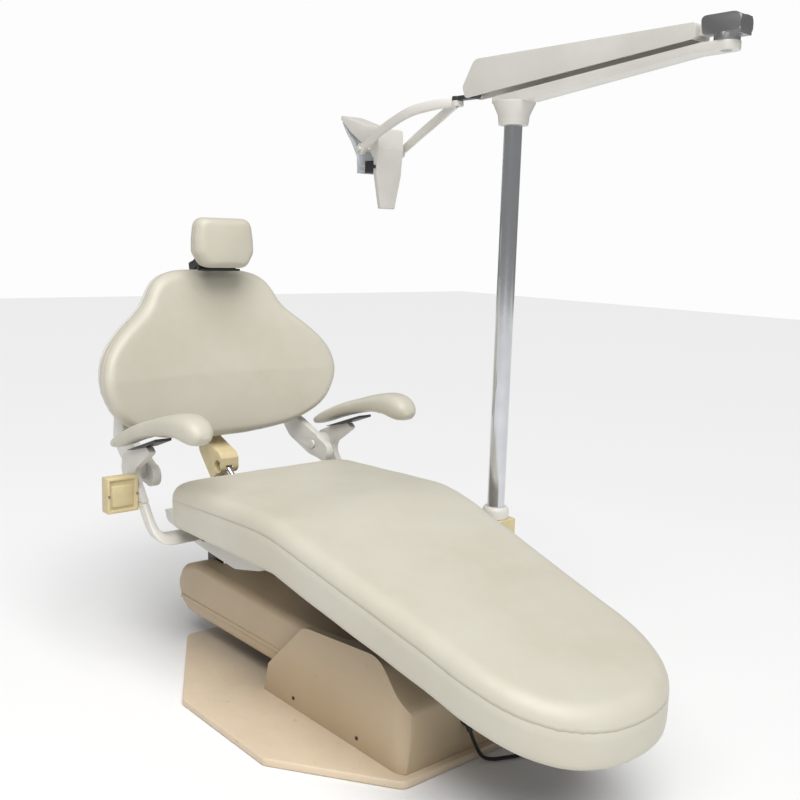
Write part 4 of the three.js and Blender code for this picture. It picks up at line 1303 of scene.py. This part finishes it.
class CHAIR_OT_light_arms(bpy.types.Operator):
    """Adds the swivelling arms, the knuckle and the yoke of the light"""

    bl_idname = "chair.light_arms"
    bl_label = "Light arms"

    def execute(self, context):
        finished("rigid_arm", 0.004, 4, sharp=30)
        finished("elbow_hub", 0.002)
        finished("flex_arm_housing", 0.006, 4, sharp=30)
        finished("nose_knuckle")
        self.yoke()
        return {"FINISHED"}

    def yoke(self):
        x0, y0 = NOSE_SWIVEL[:2]
        bore, rim, inner, outer = 0.0065, 0.0150, 0.0655, 0.0765
        angles = np.arange(40) * 2 * math.pi / 40
        stations = (
            (2, 66, 1452), (14, 84, 1452), (32, 120, 1448.5), (58, 188, 1432),
            (69, 280, 1393), (70, 335, 1363), (70, 365, 1347),
        )
        parts = []
        for side in (1, -1):
            path = catmull([(x0 + side * x * MM, y * MM, z * MM) for x, y, z in stations], 6)
            count = len(path)
            wide = [(0.0062, 0.0100 + 0.0035 * math.sin(i / count * 3.1)) for i in range(count)]
            parts.append(swept("blade", path, wide, (1, 0, 0), 24, 2.6))
            a, b = x0 + side * inner, x0 + side * outer
            rings = [
                [(x, HEAD_AXIS[0] + r * math.cos(t), HEAD_AXIS[1] + r * math.sin(t)) for t in angles]
                for x, r in ((a, bore), (a, rim), (b, rim), (b, bore))
            ]
            parts.append(rings_mesh("eye", rings + [rings[0]]))
        parts.append(
            lathe(
                "hub",
                [
                    (0.0064, 1.4440), (0.0140, 1.4440), (0.0155, 1.4455), (0.0155, 1.4570),
                    (0.0140, 1.4584), (0.0064, 1.4584), (0.0064, 1.4440),
                ],
                (x0, y0),
                48,
            )
        )
        keep(joined("light_yoke_bent", *parts), "yoke", "cream_paint", ["light_yoke"], sharp=35)


class CHAIR_OT_light_head(bpy.types.Operator):
    """Adds the head of the light with its shield, lamp and switch"""

    bl_idname = "chair.light_head"
    bl_label = "Light head"

    def execute(self, context):
        finished("head_casting", 0.003, 4, sharp=30)
        finished("front_shield", 0.0008, 2)
        finished("lamp_module", 0.003, 3)
        finished("light_switch", 0.0008, 3)
        return {"FINISHED"}


class CHAIR_OT_fasteners(bpy.types.Operator):
    """Adds the screws of the covers and blocks"""

    bl_idname = "chair.fasteners"
    bl_label = "Fasteners"

    def execute(self, context):
        sides = [
            ((side * 0.1737, y, z), (side, 0, 0))
            for side in (1, -1)
            for y, z in ((-0.062, 0.042), (-0.300, 0.042))
        ]
        screws("cover_screws", "base", sides, 0.0042, "dark_steel")
        block = [((x, 0.4143, 0.453), (0, -1, 0)) for x in (-0.4005, -0.3262)]
        screws("block_screws", "seat_carriage", block, 0.0032, "steel")
        return {"FINISHED"}


class CHAIR_PT_pieces(bpy.types.Panel):
    """Lists the pieces of the chair"""

    bl_idname = "CHAIR_PT_pieces"
    bl_label = "Dental Chair"
    bl_space_type = "VIEW_3D"
    bl_region_type = "UI"
    bl_category = "Dental Chair"

    def draw(self, context):
        for group in ("upholstery", "paint", "cord", "stage"):
            held = settings(group)
            box = self.layout.box()
            for name in held.__annotations__:
                box.prop(held, name)
        for operator in OPERATORS:
            self.layout.operator(operator.bl_idname)


GROUPS = {
    "upholstery": UpholsterySettings,
    "paint": PaintSettings,
    "cord": CordSettings,
    "stage": StageSettings,
}
OPERATORS = (
    CHAIR_OT_stage,
    CHAIR_OT_power_cord,
    CHAIR_OT_base,
    CHAIR_OT_lift,
    CHAIR_OT_carriage,
    CHAIR_OT_seat,
    CHAIR_OT_back,
    CHAIR_OT_headrest,
    CHAIR_OT_arms,
    CHAIR_OT_light_post,
    CHAIR_OT_light_arms,
    CHAIR_OT_light_head,
    CHAIR_OT_fasteners,
)


def register():
    for cls in (*GROUPS.values(), *OPERATORS, CHAIR_PT_pieces):
        bpy.utils.register_class(cls)
    for name, cls in GROUPS.items():
        setattr(bpy.types.Scene, "chair_" + name, PointerProperty(type=cls))


def unregister():
    for name in GROUPS:
        delattr(bpy.types.Scene, "chair_" + name)
    for cls in (CHAIR_PT_pieces, *reversed(OPERATORS), *reversed(GROUPS.values())):
        bpy.utils.unregister_class(cls)


def main():
    register()
    for operator in OPERATORS:
        area, name = operator.bl_idname.split(".")
        getattr(getattr(bpy.ops, area), name)()


if __name__ == "__main__":
    main()
